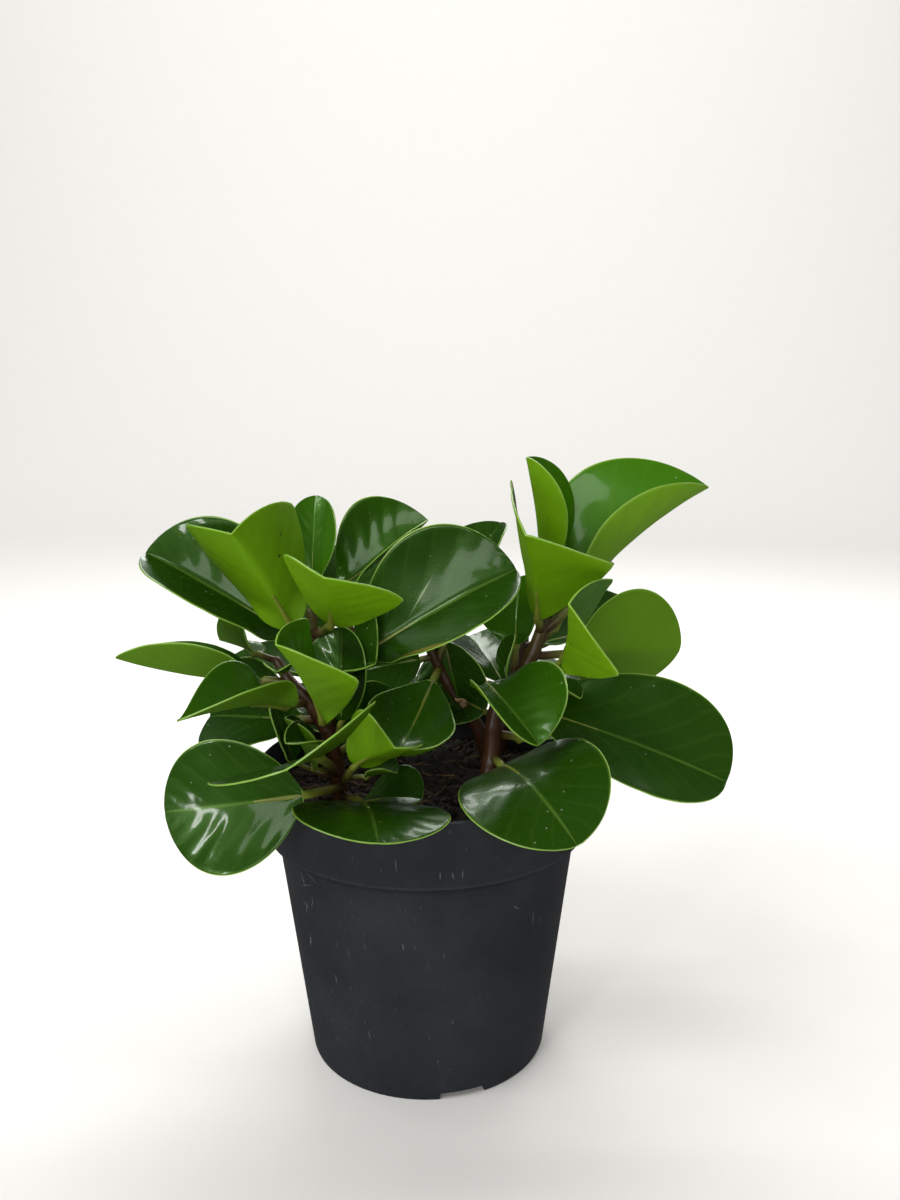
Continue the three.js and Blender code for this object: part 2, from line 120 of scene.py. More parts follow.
# A leaf grows on (stem, rod, place along the rod) and ends at its tip. Roll leans the blade to
# its right, fold is the rise of each half from the midrib, cup its curl towards the margin and
# bend the midrib's arch, in degrees. Stalk is the length of the bare stalk, a knee is where a
# bent stalk ends, and taper sharpens the tip. A tip or knee is a point, or what the camera sees
# at a pixel across and down its frame, at a depth.
LEAVES = {
    "leaf_left_1": dict(
        on=("stem_left", 0, 0.76), tip=seen(145, 553, -16),
        width=47, roll=-40, fold=30, cup=20),
    "leaf_left_2": dict(
        on=("stem_left", 0, 0.7), tip=seen(232, 535, -52),
        width=60, roll=30, fold=24, cup=42, stalk=18),
    "leaf_left_3": dict(on=("stem_left", 0, 1), tip=seen(316, 497, -8), width=18, fold=10, cup=30),
    "leaf_left_4": dict(
        on=("stem_left", 0, 0.94), tip=seen(428, 518, 8),
        width=40, roll=22, fold=35, cup=15, bend=-12, knee=seen(340, 588, -3)),
    "leaf_left_5": dict(
        on=("stem_left", 0, 0.86), tip=seen(324, 579, -66),
        width=41, roll=-36, fold=10, cup=24, knee=seen(331, 626, -42)),
    "leaf_left_6": dict(
        on=("stem_left", 0, 0.55), tip=seen(276, 643, -64),
        width=38, roll=-44, fold=35, cup=15, knee=seen(326, 722, -42)),
    "leaf_left_7": dict(
        on=("stem_left", 0, 0.66), tip=seen(376, 664, -36),
        width=29, roll=34, fold=30, cup=15, stalk=13),
    "leaf_left_8": dict(
        on=("stem_left", 0, 0.82), tip=seen(517, 569, -17),
        width=54, roll=45, fold=28, cup=15, knee=seen(365, 651, -24)),
    "leaf_left_9": dict(
        on=("stem_left", 1, 0.6), tip=seen(115, 656, -26),
        width=32, roll=12, fold=38, cup=10, bend=-20, taper=0.8),
    "leaf_left_10": dict(
        on=("stem_left", 1, 0.3), tip=seen(176, 720, -64),
        width=34, roll=-6, fold=38, cup=10, bend=16, taper=1.4),
    "leaf_left_11": dict(
        on=("stem_left", 1, 1), tip=seen(219, 640, -5),
        width=26, roll=40, fold=20, cup=20),
    "leaf_left_12": dict(
        on=("stem_left", 1, 0.8), tip=seen(276, 673, -34),
        width=12, fold=20, cup=20, stalk=4),
    "leaf_left_13": dict(
        on=("stem_left", 1, 0.1), tip=seen(211, 716, -8),
        width=42, roll=-45, fold=20, cup=20),
    "leaf_left_14": dict(
        on=("stem_left", 0, 0.47), tip=seen(286, 742, -46),
        width=14, roll=-30, fold=30, cup=20, stalk=6),
    "leaf_left_15": dict(
        on=("stem_left", 0, 0.36), tip=seen(306, 757, -30),
        width=10, roll=-30, fold=30, cup=20, stalk=6),
    "leaf_left_16": dict(
        on=("stem_left", 0, 0.3), tip=seen(165, 812, -50),
        width=43, roll=-84, fold=4, cup=12, bend=14, knee=seen(303, 795, -52)),
    "leaf_left_17": dict(
        on=("stem_left", 0, 0.34), tip=seen(288, 771, -90),
        width=56, roll=27, fold=6, cup=12, knee=seen(318, 756, -50)),
    "leaf_left_18": dict(
        on=("stem_left", 0, 0.27), tip=seen(378, 845, -82),
        width=48, roll=-7, fold=-2, cup=10, bend=34, knee=seen(364, 801, -48)),
    "leaf_left_19": dict(
        on=("stem_left", 0, 0.33), tip=seen(398, 772, -24),
        width=18, fold=20, cup=20),
    "leaf_right_1": dict(
        on=("stem_right", 0, 0.66), tip=seen(537, 747, -50),
        width=43, roll=8, fold=30, cup=34, knee=seen(486, 684, -24)),
    "leaf_right_2": dict(
        on=("stem_right", 0, 0.4), tip=seen(576, 846, -80),
        width=47, roll=20, fold=5, cup=10, bend=50),
    "leaf_right_3": dict(
        on=("stem_right", 0, 0.64), tip=seen(726, 784, -35),
        width=52, roll=10, fold=42, cup=5, taper=0.45),
    "leaf_right_4": dict(
        on=("stem_right", 0, 0.5), tip=seen(640, 766, 5),
        width=34, fold=10, cup=10, bend=40),
    "leaf_right_5": dict(
        on=("stem_right", 0, 0.82), tip=seen(681, 647, 5),
        width=44, roll=-70, fold=10, cup=10, stalk=14),
    "leaf_right_6": dict(
        on=("stem_right", 0, 0.74), tip=seen(568, 604, -66),
        width=44, roll=-90, fold=30, cup=24, knee=seen(561, 668, -34)),
    "leaf_right_7": dict(
        on=("stem_right", 0, 0.86), tip=seen(614, 564, 8),
        width=30, roll=-60, fold=20, cup=20),
    "leaf_right_8": dict(
        on=("stem_right", 0, 0.94), tip=seen(525, 536, -58),
        width=51, roll=-34, fold=20, cup=30),
    "leaf_right_9": dict(
        on=("stem_right", 0, 1), tip=seen(525, 458, -16),
        width=28, fold=40, cup=30, stalk=13),
    "leaf_right_10": dict(
        on=("stem_right", 0, 0.93), tip=seen(709, 487, -6),
        width=54, roll=17, fold=45, cup=15, bend=30, taper=0.8, stalk=14),
    "leaf_right_11": dict(
        on=("stem_right", 0, 0.7), tip=seen(520, 576, 10),
        width=30, roll=-20, fold=20, cup=20, stalk=14),
    "leaf_right_12": dict(
        on=("stem_right", 0, 0.6), tip=seen(516, 636, -9),
        width=10, fold=20, cup=20),
    "leaf_right_13": dict(
        on=("stem_right", 0, 0.72), tip=seen(582, 697, -25),
        width=14, fold=20, cup=20),
    "leaf_middle_1": dict(
        on=("stem_middle", 0, 1), tip=seen(502, 523, 30),
        width=32, fold=20, cup=20),
    "leaf_middle_2": dict(
        on=("stem_middle", 0, 0.9), tip=seen(394, 748, -50),
        width=40, roll=-20, fold=10, cup=60, bend=-110),
    "leaf_middle_3": dict(
        on=("stem_middle", 0, 0.52), tip=(-6, 62, 120),
        width=38, fold=20, cup=20),
    "dried_leaf": dict(
        on=("stem_middle", 0, 0.6), tip=seen(456, 699, -6),
        width=5, fold=35, cup=30, stalk=4),
    "leaf_back_left_1": dict(
        on=("stem_back_left", 0, 0.9), tip=seen(205, 580, 58),
        width=44, roll=-20, fold=25, cup=20),
    "leaf_back_left_2": dict(
        on=("stem_back_left", 0, 1), tip=seen(335, 545, 62),
        width=42, roll=15, fold=30, cup=20),
    "leaf_back_left_3": dict(
        on=("stem_back_left", 0, 0.85), tip=seen(445, 610, 78),
        width=46, roll=20, fold=20, cup=20),
    "leaf_back_left_4": dict(
        on=("stem_back_left", 0, 0.68), tip=seen(215, 668, 52),
        width=42, fold=15, cup=20),
    "leaf_back_left_5": dict(
        on=("stem_back_left", 0, 0.6), tip=seen(330, 680, 92),
        width=44, roll=10, fold=15, cup=20),
    "leaf_back_left_6": dict(
        on=("stem_back_left", 0, 0.36), tip=(-74, 56, 112),
        width=44, fold=10, cup=15, bend=24),
    "leaf_back_right_1": dict(
        on=("stem_back_right", 0, 1), tip=seen(640, 520, 48),
        width=44, roll=15, fold=35, cup=15),
    "leaf_back_right_2": dict(
        on=("stem_back_right", 0, 0.85), tip=seen(655, 625, 66),
        width=46, roll=10, fold=20, cup=20),
    "leaf_back_right_3": dict(
        on=("stem_back_right", 0, 0.72), tip=seen(705, 722, 38),
        width=40, fold=15, cup=20),
    "leaf_back_right_4": dict(
        on=("stem_back_right", 0, 0.92), tip=seen(540, 590, 104),
        width=44, roll=-15, fold=20, cup=20),
    "leaf_back_right_5": dict(
        on=("stem_back_right", 0, 0.6), tip=seen(470, 636, 90),
        width=42, fold=20, cup=20),
    "leaf_back_right_6": dict(
        on=("stem_back_right", 0, 0.46), tip=(64, 86, 118),
        width=46, fold=10, cup=15, bend=24),
}

# Small leaves deep in the crown, on the same stems, that only fill it out to the eye.
INNER_LEAVES = {
    "inner_leaf_1": dict(
        on=("stem_left", 0, 0.28), tip=(-8, -60, 131),
        width=30, roll=-40, fold=26, cup=24, knee=(-22, -38, 118)),
    "inner_leaf_2": dict(
        on=("stem_middle", 0, 0.92), tip=(14, 3, 120),
        width=30, roll=84, fold=12, cup=20, knee=(7, 6, 148)),
    "inner_leaf_3": dict(
        on=("stem_middle", 0, 0.97), tip=(-24, 3, 138),
        width=28, roll=-55, fold=12, cup=20, stalk=5),
    "inner_leaf_4": dict(
        on=("stem_left", 0, 0.42), tip=(-6, -4, 127),
        width=32, roll=48, fold=14, cup=20, stalk=6),
    "inner_leaf_5": dict(
        on=("stem_left", 0, 0.34), tip=(-51, -22, 134),
        width=17, fold=16, cup=24, knee=(-44, -26, 115)),
    "inner_leaf_6": dict(
        on=("stem_left", 0, 0.36), tip=(-45, -33, 132),
        width=17, fold=20, cup=24, knee=(-36, -30, 114)),
    "inner_leaf_7": dict(
        on=("stem_right", 0, 0.56), tip=(8, 12, 128),
        width=30, roll=-50, fold=14, cup=20, stalk=6),
    "inner_leaf_8": dict(
        on=("stem_left", 0, 0.45), tip=(-26, -27, 161),
        width=25, fold=8, cup=20, knee=(-27, -29, 130)),
    "inner_leaf_9": dict(
        on=("stem_left", 0, 0.24), tip=(-1, -31, 103),
        width=27, roll=14, fold=14, cup=20, bend=24, stalk=8),
}

# Marks on single leaves, each a line between two places with a width. A place is the share along
# the blade from its stalk, and the share across it, from -1 at its left margin to 1 at its right.
BLACK_MARKS = [
    ("leaf_left_2", (0.65, -0.5), (0.66, -0.5), 1.6),
    ("leaf_left_2", (0.55, -0.35), (0.55, -0.37), 1.5),
    ("leaf_right_6", (0.5, -0.05), (0.5, -0.25), 1),
]
# Pale streaks on one leaf's side veins, each a line as above: painted highlights where the wrinkled
# veins catch the light.
PAINTED_VEIN_HIGHLIGHTS = [
    ("leaf_left_8", (0.55, -0.4), (0.3, -0.1), 0.9),
    ("leaf_left_8", (0.35, -0.55), (0.2, -0.35), 0.8),
]
YELLOWED_EDGE = ("leaf_left_8", (0.15, 1), (0.45, 1), 3.2)

# A scratch runs from an angle round the pot in degrees and a height to another angle and height,
# and has a width.
POT_SCRATCHES = [
    (218, 79, 220, 73, 0.5), (217, 73, 225, 76, 0.4), (220, 69, 217, 62, 0.4),
    (222, 80, 228, 77, 0.4), (218, 55, 216.5, 49, 0.7), (231, 44, 231.5, 40, 0.4),
    (215, 67, 221, 65.5, 0.35), (224, 71, 222, 66, 0.35), (275.3, 90, 275.4, 86.5, 0.45),
    (279.2, 89.5, 279.3, 87, 0.45), (282.4, 90, 282.4, 86.5, 0.45), (315, 66, 315.5, 60, 0.4),
    (304, 71, 307, 69, 0.4), (262, 62, 262.5, 59, 0.4), (245, 26, 246, 22, 0.4),
]

# How young a leaf is, from 0 for old dark ones to 1 for fresh bright ones.
YOUTH = {
    "leaf_left_2": 0.8, "leaf_left_3": 0.55, "leaf_left_4": 0.35, "leaf_left_5": 0.9,
    "leaf_left_6": 0.9, "leaf_right_6": 0.9, "leaf_right_8": 0.9, "leaf_right_9": 0.9,
    "leaf_right_10": 1, "leaf_right_5": 0.5, "leaf_right_1": 0.35, "leaf_middle_2": 0.3,
    "leaf_right_11": 0.5, "inner_leaf_1": 1, "leaf_left_7": 0.2, "leaf_left_9": 0.3,
    "leaf_left_10": 0.45,
}

# What single leaves have of their own: another roll, taper or corner, and how the two halves
# differ, seen from above with the tip ahead. A half has a factor for its width, and degrees
# added to its fold and to its cup.
OWN_SHAPES = {
    "leaf_left_2": dict(taper=0.4, corner=0.5, left=(0.95, 26, -10), right=(1.4, 10, -15)),
    "leaf_left_4": dict(left=(1.05, 10, 10), right=(0.85, 0, 0)),
    "leaf_left_5": dict(roll=-24, taper=0.6, corner=0.3, left=(1.1, 5, -10)),
    "leaf_left_6": dict(
        roll=-35, taper=0.35, corner=0.7, left=(1.25, -10, 0), right=(1.05, -5, 10)),
    "leaf_left_7": dict(left=(1.8, -10, 10), right=(1.3, 0, 0)),
    "leaf_left_16": dict(roll=-78),
    "leaf_right_3": dict(right=(0.8, -55, 0)),
    "leaf_right_6": dict(taper=0.36, corner=0.7),
    "leaf_right_7": dict(taper=0.9),
    "leaf_right_8": dict(taper=0.4, corner=0.8, right=(1.3, 10, -10)),
    "leaf_right_9": dict(roll=-32, left=(0.95, -10, 10), right=(1.2, 5, -10)),
    "leaf_right_10": dict(left=(1.1, 0, 0), right=(1.15, -12, 25)),
}

# ---- Sizes in millimetres, and shares of a size ----

# A blade widens with the power BLADE_RISE of its length and narrows with BLADE_FALL, and its
# cross sections stand closer together towards the tip, by BLADE_CROWDING. A wedge-shaped blade
# narrows with WEDGE_FALL.
BLADE_RISE = 0.74
BLADE_FALL = 0.57
BLADE_END = 0.9985
BLADE_CROWDING = 1.7
WEDGE_FALL = 0.8
FOLD_REACHED = 0.2
USUAL_YOUTH = 0.15

# A blade's face rolls in long waves, with short ripples near its margin. The side veins and
# the midrib lie in grooves.
WAVE_LENGTH = 15
WAVE_HEIGHT = 0.55
RIPPLE_LENGTH = 6
RIPPLE_HEIGHT = 0.35
VEIN_PAIRS = 7
VEIN_SLANT = 2.6
VEIN_CURVE = 0.75
VEIN_DEPTH = 0.3
GROOVE_DEPTH = 0.4
GROOVE_SHARE = 0.12

# A stalk runs on as the rib beneath its blade, for RIB_REACH of its length. A blade narrower
# than FULL_STALK_WIDTH has a thinner stalk.
STALK_RADIUS = 1.5
STALK_ROOT_RADIUS = 1.55
RIB_START_RADIUS = 1.4
RIB_END_RADIUS = 0.4
RIB_PLACES = (0, 0.04, 0.08, 0.12, 0.17, 0.22, 0.28, 0.35)
RIB_REACH = RIB_PLACES[-1]
STALK_STEPS = 9
FULL_STALK_WIDTH = 34

# Stems swell a little at each joint. They start a little under the soil's top and turn green
# between two heights.
STEM_STEPS = 14
STEM_START = 88
JOINT_SPACING = 13
JOINT_SWELLING = 0.09
GREENING_START = 135
GREENING_END = 190
STEM_END_CAP = ((0.45, 0.88), (0.75, 0.62), (0.9, 0.3))

# The pot's underside, and the slots through its foot ring.
FOOT_WIDTH = 6.5
PAD_RADIUS = 14
BASE_RAISE = 2.8
DRAIN_COUNT = 3
DRAIN_TURN = -73
DRAIN_REACH = 40
DRAIN_DEPTH = 14
DRAIN_WIDTH = 16
DRAIN_HEIGHT = 2.6

# The soil dips a little towards the wall. Loose crumbs and fibres keep off the wall.
SOIL_RADIUS = 56.9
SOIL_ROLL = 1.1
SOIL_RINGS = 24
SOIL_SKIRT = 10
RIM_DIP = 1.2
RIM_DIP_START = 50
RIM_DIP_END = 57
LITTER_REACH = 53
FIBRE_REACH = 49
FIBRE_POINTS = 5
FIBRE_THICKNESS = (0.5, 1, 1, 0.9, 0.4)

# ---- The stage, in metres ----

FLOOR_SIZE = 6
FLOOR_BACK = FLOOR_SIZE / 2 - 0.1
BACKDROP_HEIGHT = 4
BACKDROP_BEND = 1.6
BACKDROP_STEPS = 24
PLANT_HEART = (0, 0, 0.13)

UP = Vector((0, 0, 1))


# ---- Settings ----

def linear(code):
    """An sRGB hex colour as linear red, green and blue."""
    parts = [int(code[i:i + 2], 16) / 255 for i in (1, 3, 5)]
    return [c / 12.92 if c <= 0.04045 else ((c + 0.055) / 1.055) ** 2.4 for c in parts]


def colour(name, code, description):
    return FloatVectorProperty(
        name=name, description=description, subtype="COLOR", size=3, min=0, max=1,
        default=linear(code))


def length(name, millimetres, description):
    return FloatProperty(
        name=name, description=description, unit="LENGTH", precision=4, min=0,
        default=millimetres * MM)


def power(name, watts, description):
    return FloatProperty(name=name, description=description, unit="POWER", default=watts)


class PeperomiaPotSettings(bpy.types.PropertyGroup):
    height: length("Height", 107, "From the ground to the rim")
    base_radius: length("Base radius", 42.8, "At the ground")
    body_radius: length("Body radius", 53.4, "At the top of the body, under the band")
    band_start: length("Band start", 82.9, "Height of the band's lower edge")
    band_radius: length("Band radius", 56.9, "At the band's lower edge")
    rim_radius: length("Rim radius", 60, "At the rim")
    wall: length("Wall", 1.3, "Wall thickness")
    sides: IntProperty(name="Sides", description="Steps round the pot", default=96, min=24)
    plastic: colour("Plastic", "#202328", "Colour of the moulded plastic")
    dust: colour("Dust", "#6c6e72", "Colour of the dust and scuffs on it")


class PeperomiaSoilSettings(bpy.types.PropertyGroup):
    level: length("Level", SOIL_LEVEL, "Height of the soil's top")
    crumbs: IntProperty(name="Crumbs", description="Loose lumps on top", default=700, min=0)
    fibres: IntProperty(name="Fibres", description="Loose fibres on top", default=130, min=0)
    peat: colour("Peat", "#160f09", "Colour of moist peat")
    fibre: colour("Fibre", "#6b5235", "Colour of the dry fibres")


class PeperomiaPlantSettings(bpy.types.PropertyGroup):
    thickness: length("Blade thickness", 0.7, "Thickness of a leaf blade")
    steps: IntProperty(name="Steps", description="Faces along a blade", default=30, min=8)
    splits: IntProperty(name="Splits", description="Faces across a blade", default=20, min=6)
    upper: colour("Upper face", "#163205", "Colour of an old leaf from above")
    upper_young: colour("Young upper face", "#3a6c06", "Colour of a young leaf from above")
    under: colour("Underside", "#3f6405", "Colour of a leaf from below")
    under_young: colour("Young underside", "#649006", "Colour of a young leaf from below")
    margin: colour("Margin", "#80a344", "Colour of the thin clear edge")
    stem: colour("Stem", "#472810", "Colour of the fleshy stems")
    stalk: colour("Leaf stalk", "#7d8a2c", "Colour of the leaf stalks")


class PeperomiaStageSettings(bpy.types.PropertyGroup):
    floor: colour("Floor", "#e4e2de", "Colour of the floor")
    key: power("Key", 8, "Power of the key light")
    back: power("Back", 6, "Power of the back light")
    strip: power("Strip", 2.6, "Power of the strip light")
    wash: power("Wash", 78, "Power of the backdrop light")
    front: power("Front", 9, "Power of the front light")
    sky: FloatProperty(name="Sky", description="Strength of the surrounding light", default=0.28)


# ---- Small helpers ----

def feed(material_or_world, node, inputs):
    """Sets or links inputs of a shader node."""
    for key, value in inputs.items():
        socket = node.inputs[key]
        if isinstance(value, bpy.types.NodeSocket):
            material_or_world.node_tree.links.new(value, socket)
        elif socket.type == "RGBA":
            socket.default_value = (*value[:3], 1)
        else:
            socket.default_value = value


def add(material_or_world, kind, inputs=None, stops=None, **settings):
    """Adds a shader node with its settings, and sets or links its inputs."""
    made = material_or_world.node_tree.nodes.new(kind)
    for key, value in settings.items():
        setattr(made, key, value)
    feed(material_or_world, made, inputs or {})
    if stops:
        ramp = made.color_ramp
        for spot, shade in stops[1:-1]:
            ramp.elements.new(spot).color = (*shade, 1)
        for element, (spot, shade) in ((ramp.elements[0], stops[0]), (ramp.elements[-1], stops[-1])):
            element.position = spot
            element.color = (*shade, 1)
    return made


def new_material(name):
    """An empty node material, its Principled shader and the place on the piece in metres."""
    material = bpy.data.materials.new(name)
    material.use_nodes = True
    material.node_tree.nodes.clear()
    shader = add(material, "ShaderNodeBsdfPrincipled")
    add(material, "ShaderNodeOutputMaterial", {"Surface": shader.outputs["BSDF"]})
    spot = add(material, "ShaderNodeTexCoord").outputs["Object"]
    return material, shader, spot


def every(millimetres):
    """The scale of a pattern that repeats about every so many millimetres."""
    return 1 / (millimetres * MM)


def shaded(tone, factor):
    """A colour made darker or lighter by a factor."""
    return [c * factor for c in tone]


def tinted(material, tone, share, strength, tint):
    """The tone with some of a tint over it, as strong as the share times the strength."""
    much = add(material, "ShaderNodeMath", {0: share, 1: strength}, operation="MULTIPLY")
    return add(material, "ShaderNodeMix", {"Factor": much.outputs[0], 6: tone, 7: tint},
               data_type="RGBA").outputs[2]


def select_only(*objects):
    bpy.ops.object.select_all(action="DESELECT")
    for piece in objects:
        piece.select_set(True)
    bpy.context.view_layer.objects.active = objects[0] if objects else None


def select_open_edges():
    """Selects the open edges of the active mesh, in edit mode."""
    bpy.ops.mesh.select_all(action="DESELECT")
    bpy.ops.mesh.select_mode(type="EDGE")
    bpy.ops.mesh.select_non_manifold()


def face_outward():
    """Turns every face of the active mesh outward, and leaves edit mode."""
    bpy.ops.object.mode_set(mode="EDIT")
    bpy.ops.mesh.select_all(action="SELECT")
    bpy.ops.mesh.normals_make_consistent(inside=False)
    bpy.ops.object.mode_set(mode="OBJECT")


def apply_modifier(piece, kind, **settings):
    modifier = piece.modifiers.new(kind.title(), kind)
    for key, value in settings.items():
        setattr(modifier, key, value)
    select_only(piece)
    bpy.ops.object.modifier_apply(modifier=modifier.name)


def dress(piece, *finishes):
    """Gives a piece its materials in place of any that it has."""
    piece.data.materials.clear()
    for finish in finishes:
        piece.data.materials.append(finish)


def finish_piece(piece, name, node, angle=40):
    """Names a piece, bakes its place into its mesh, smooths it and ties it to the frame."""
    select_only(piece)
    bpy.ops.object.transform_apply(location=True, rotation=True, scale=True)
    bpy.ops.object.shade_smooth_by_angle(angle=math.radians(angle))
    piece.name = piece.data.name = name
    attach(piece, "root")
    if node:
        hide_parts(node)


def smoothstep(value, low, high):
    share = min(max((value - low) / (high - low), 0), 1)
    return share * share * (3 - 2 * share)


def lerp(start, end, share):
    return start + (end - start) * share


def tube(name, centres, radii, sides):
    """A closed round tube through the centres, in metres, as a mesh object made from a curve."""
    curve = bpy.data.curves.new(name, "CURVE")
    curve.dimensions = "3D"
    curve.bevel_depth = 1
    curve.bevel_resolution = sides
    curve.use_fill_caps = True
    curve.resolution_u = 1
    spline = curve.splines.new("POLY")
    spline.points.add(len(centres) - 1)
    for point, centre, radius in zip(spline.points, centres, radii):
        point.co = (*centre, 1)
        point.radius = radius
    piece = bpy.data.objects.new(name, curve)
    bpy.context.scene.collection.objects.link(piece)
    select_only(piece)
    bpy.ops.object.convert(target="MESH")
    return bpy.context.view_layer.objects.active


def set_share(piece, name, values):
    """Stores one value from 0 to 1 on each point of a piece, for its material."""
    piece.data.attributes.new(name, "FLOAT", "POINT").data.foreach_set("value", values)


def join(main, *others):
    select_only(main, *others)
    bpy.ops.object.join()
    return main


# ---- Plant shapes ----

def rod_point(rod, share):
    """A point on a rod's centripetal curve, at a share of its spans."""
    points = [Vector(point[:3]) for point in rod]
    place = (len(points) - 1) * share
    i = min(int(place), len(points) - 2)
    weight = place - i
    before = points[i - 1] if i > 0 else 2 * points[0] - points[1]
    after = points[i + 2] if i + 2 < len(points) else 2 * points[-1] - points[-2]
    here, there = points[i], points[i + 1]
    spans = [math.sqrt(max((b - a).length, 1e-8))
             for a, b in ((before, here), (here, there), (there, after))]
    leave = ((here - before) / spans[0] - (there - before) / (spans[0] + spans[1])
             + (there - here) / spans[1]) * spans[1]
    arrive = ((there - here) / spans[1] - (after - here) / (spans[1] + spans[2])
              + (after - there) / spans[2]) * spans[1]
    square = -3 * here + 3 * there - 2 * leave - arrive
    cube = 2 * here - 2 * there + leave + arrive
    return here + leave * weight + square * weight ** 2 + cube * weight ** 3


def rod_radius(rod, share):
    place = (len(rod) - 1) * share
    i = min(int(place), len(rod) - 2)
    return lerp(rod[i][3], rod[i + 1][3], place - i)


def blade_half_width(t, width, taper, corner):
    """Half of the blade's width. A corner of 1 makes a wedge with a corner on each side."""
    widest = BLADE_RISE / (BLADE_RISE + taper)
    rounded = (t / widest) ** BLADE_RISE * ((1 - t) / (1 - widest)) ** taper
    wedge = min(t / widest, ((1 - t) / (1 - widest)) ** WEDGE_FALL)
    return (width / 2) * lerp(rounded, wedge, corner)


class Leaf:
    """A leaf's midrib, and the curved sheet of its blade, in millimetres."""

    def __init__(self, on, tip, width, roll=0, fold=15, cup=25, bend=10, stalk=10,
                 taper=BLADE_FALL, corner=0, knee=None, left=(1, 0, 0), right=(1, 0, 0)):
        stem, rod, place = on
        self.root = rod_point(STEMS[stem][rod], place)
        self.tip = Vector(tip)
        self.width, self.taper, self.corner = width, taper, corner
        self.fold, self.cup = math.radians(fold), math.radians(cup)
        reach = (self.tip - self.root).length
        self.base = Vector(knee) if knee else self.root.lerp(self.tip, stalk / reach)
        chord = self.tip - self.base
        self.forward = chord.normalized()
        level = self.forward.cross(UP).normalized()
        self.right = Quaternion(self.forward, math.radians(roll)) @ level
        self.halves = {-1: left, 0: (1, 0, 0), 1: right}
        self.up = self.right.cross(self.forward)
        self.turn = math.radians(bend if abs(bend) >= 1 else 1)
        self.radius = chord.length / (2 * math.sin(self.turn / 2))

    def rib(self, u):
        """The midrib's place and upward normal at a share of its length."""
        half = self.turn / 2
        angle = half - self.turn * u
        place = (self.base + self.forward * self.radius * (math.sin(half) - math.sin(angle))
                 + self.up * self.radius * (math.cos(angle) - math.cos(half)))
        return place, self.up * math.cos(angle) - self.forward * math.sin(angle)

    def sheet(self, t, v):
        """The blade's middle surface, t from stalk to tip and v from -1 to 1 across."""
        place, normal = self.rib(t)
        blade = blade_half_width(t, self.width, self.taper, self.corner)
        side = 1 if v > 0 else -1 if v < 0 else 0
        wider, steeper, rounder = self.halves[side]
        half = math.hypot(blade, STALK_RADIUS * (1 - t)) * wider
        fold = (self.fold + math.radians(steeper)) * smoothstep(t, 0, FOLD_REACHED)
        turn = max((self.cup + math.radians(rounder)) * blade / (self.width / 2), 1e-3)
        slope = fold + turn * abs(v)
        across = half * (math.sin(slope) - math.sin(fold)) / turn
        rise = half * (math.cos(fold) - math.cos(slope)) / turn
        face = normal * math.cos(slope) - self.right * side * math.sin(slope)
        return place + self.right * side * across + normal * rise, face


def shaped_leaf(name):
    """A named leaf, with what its shape has of its own."""
    row = LEAVES.get(name) or INNER_LEAVES[name]
    return Leaf(**{**row, **OWN_SHAPES.get(name, {})})


# ---- Materials ----

def leaf_face_map(material):
    """The share along a blade, the share from midrib to margin, and how much of a vein it is."""
    uv = add(material, "ShaderNodeTexCoord").outputs["UV"]
    parts = add(material, "ShaderNodeSeparateXYZ", {0: uv})
    centred = add(material, "ShaderNodeMath", {0: parts.outputs["Y"], 1: 2, 2: -1},
                  operation="MULTIPLY_ADD").outputs[0]
    side = add(material, "ShaderNodeMath", {0: centred}, operation="ABSOLUTE").outputs[0]
    # The map runs from 0 to 1, so the wobble of the veins repeats five times along a blade.
    wobble = add(material, "ShaderNodeTexNoise", {"Vector": uv, "Scale": 5}).outputs["Fac"]
    bent = add(material, "ShaderNodeMath", {0: side, 1: VEIN_CURVE}, operation="POWER").outputs[0]
    drift = add(material, "ShaderNodeMath", {0: wobble, 1: 0.4}, operation="MULTIPLY").outputs[0]
    slant = add(material, "ShaderNodeMath", {0: bent, 1: -VEIN_SLANT, 2: drift},
                operation="MULTIPLY_ADD").outputs[0]
    count = add(material, "ShaderNodeMath", {0: parts.outputs["X"], 1: VEIN_PAIRS, 2: slant},
                operation="MULTIPLY_ADD").outputs[0]
    turns = add(material, "ShaderNodeMath", {0: count, 1: math.tau}, operation="MULTIPLY")
    wave = add(material, "ShaderNodeMath", {0: turns.outputs[0]}, operation="SINE").outputs[0]
    vein = add(material, "ShaderNodeMapRange", {"Value": wave, "From Min": 0.8, "From Max": 1})
    return parts.outputs["X"], side, vein.outputs["Result"]


def leaf_green(material, patches, old, young):
    """Old green in lighter and darker patches, turned to young green by the leaf's youth."""
    youth = add(material, "ShaderNodeAttribute", attribute_name="youth").outputs["Fac"]
    dark, light = old
    patched = add(material, "ShaderNodeMix", {"Factor": patches, 6: dark, 7: light},
                  data_type="RGBA").outputs[2]
    return add(material, "ShaderNodeMix", {"Factor": youth, 6: patched, 7: young},
               data_type="RGBA").outputs[2]


def line_mark(material, spot, start, end, width):
    """From 1 along a line to 0 half a width away from it. The ends and width are millimetres."""
    start, end = Vector(start), Vector(end)
    turn = (end - start).to_track_quat("X", "Z").to_euler()
    reach = (end - start).length / 2 + width / 2
    local = add(material, "ShaderNodeMapping", {
        "Vector": spot, "Location": (start + end) / 2 * MM, "Rotation": turn,
        "Scale": Vector((reach, width / 2, width / 2)) * MM}, vector_type="TEXTURE")
    far = add(material, "ShaderNodeVectorMath", {0: local.outputs[0]}, operation="LENGTH")
    return add(material, "ShaderNodeMapRange", {
        "Value": far.outputs["Value"], "From Min": 1, "From Max": 0.5}).outputs["Result"]


def leaf_mark(material, spot, name, start, end, width):
    """A line mark between two places on a named leaf."""
    leaf = shaped_leaf(name)
    return line_mark(material, spot, leaf.sheet(*start)[0], leaf.sheet(*end)[0], width)


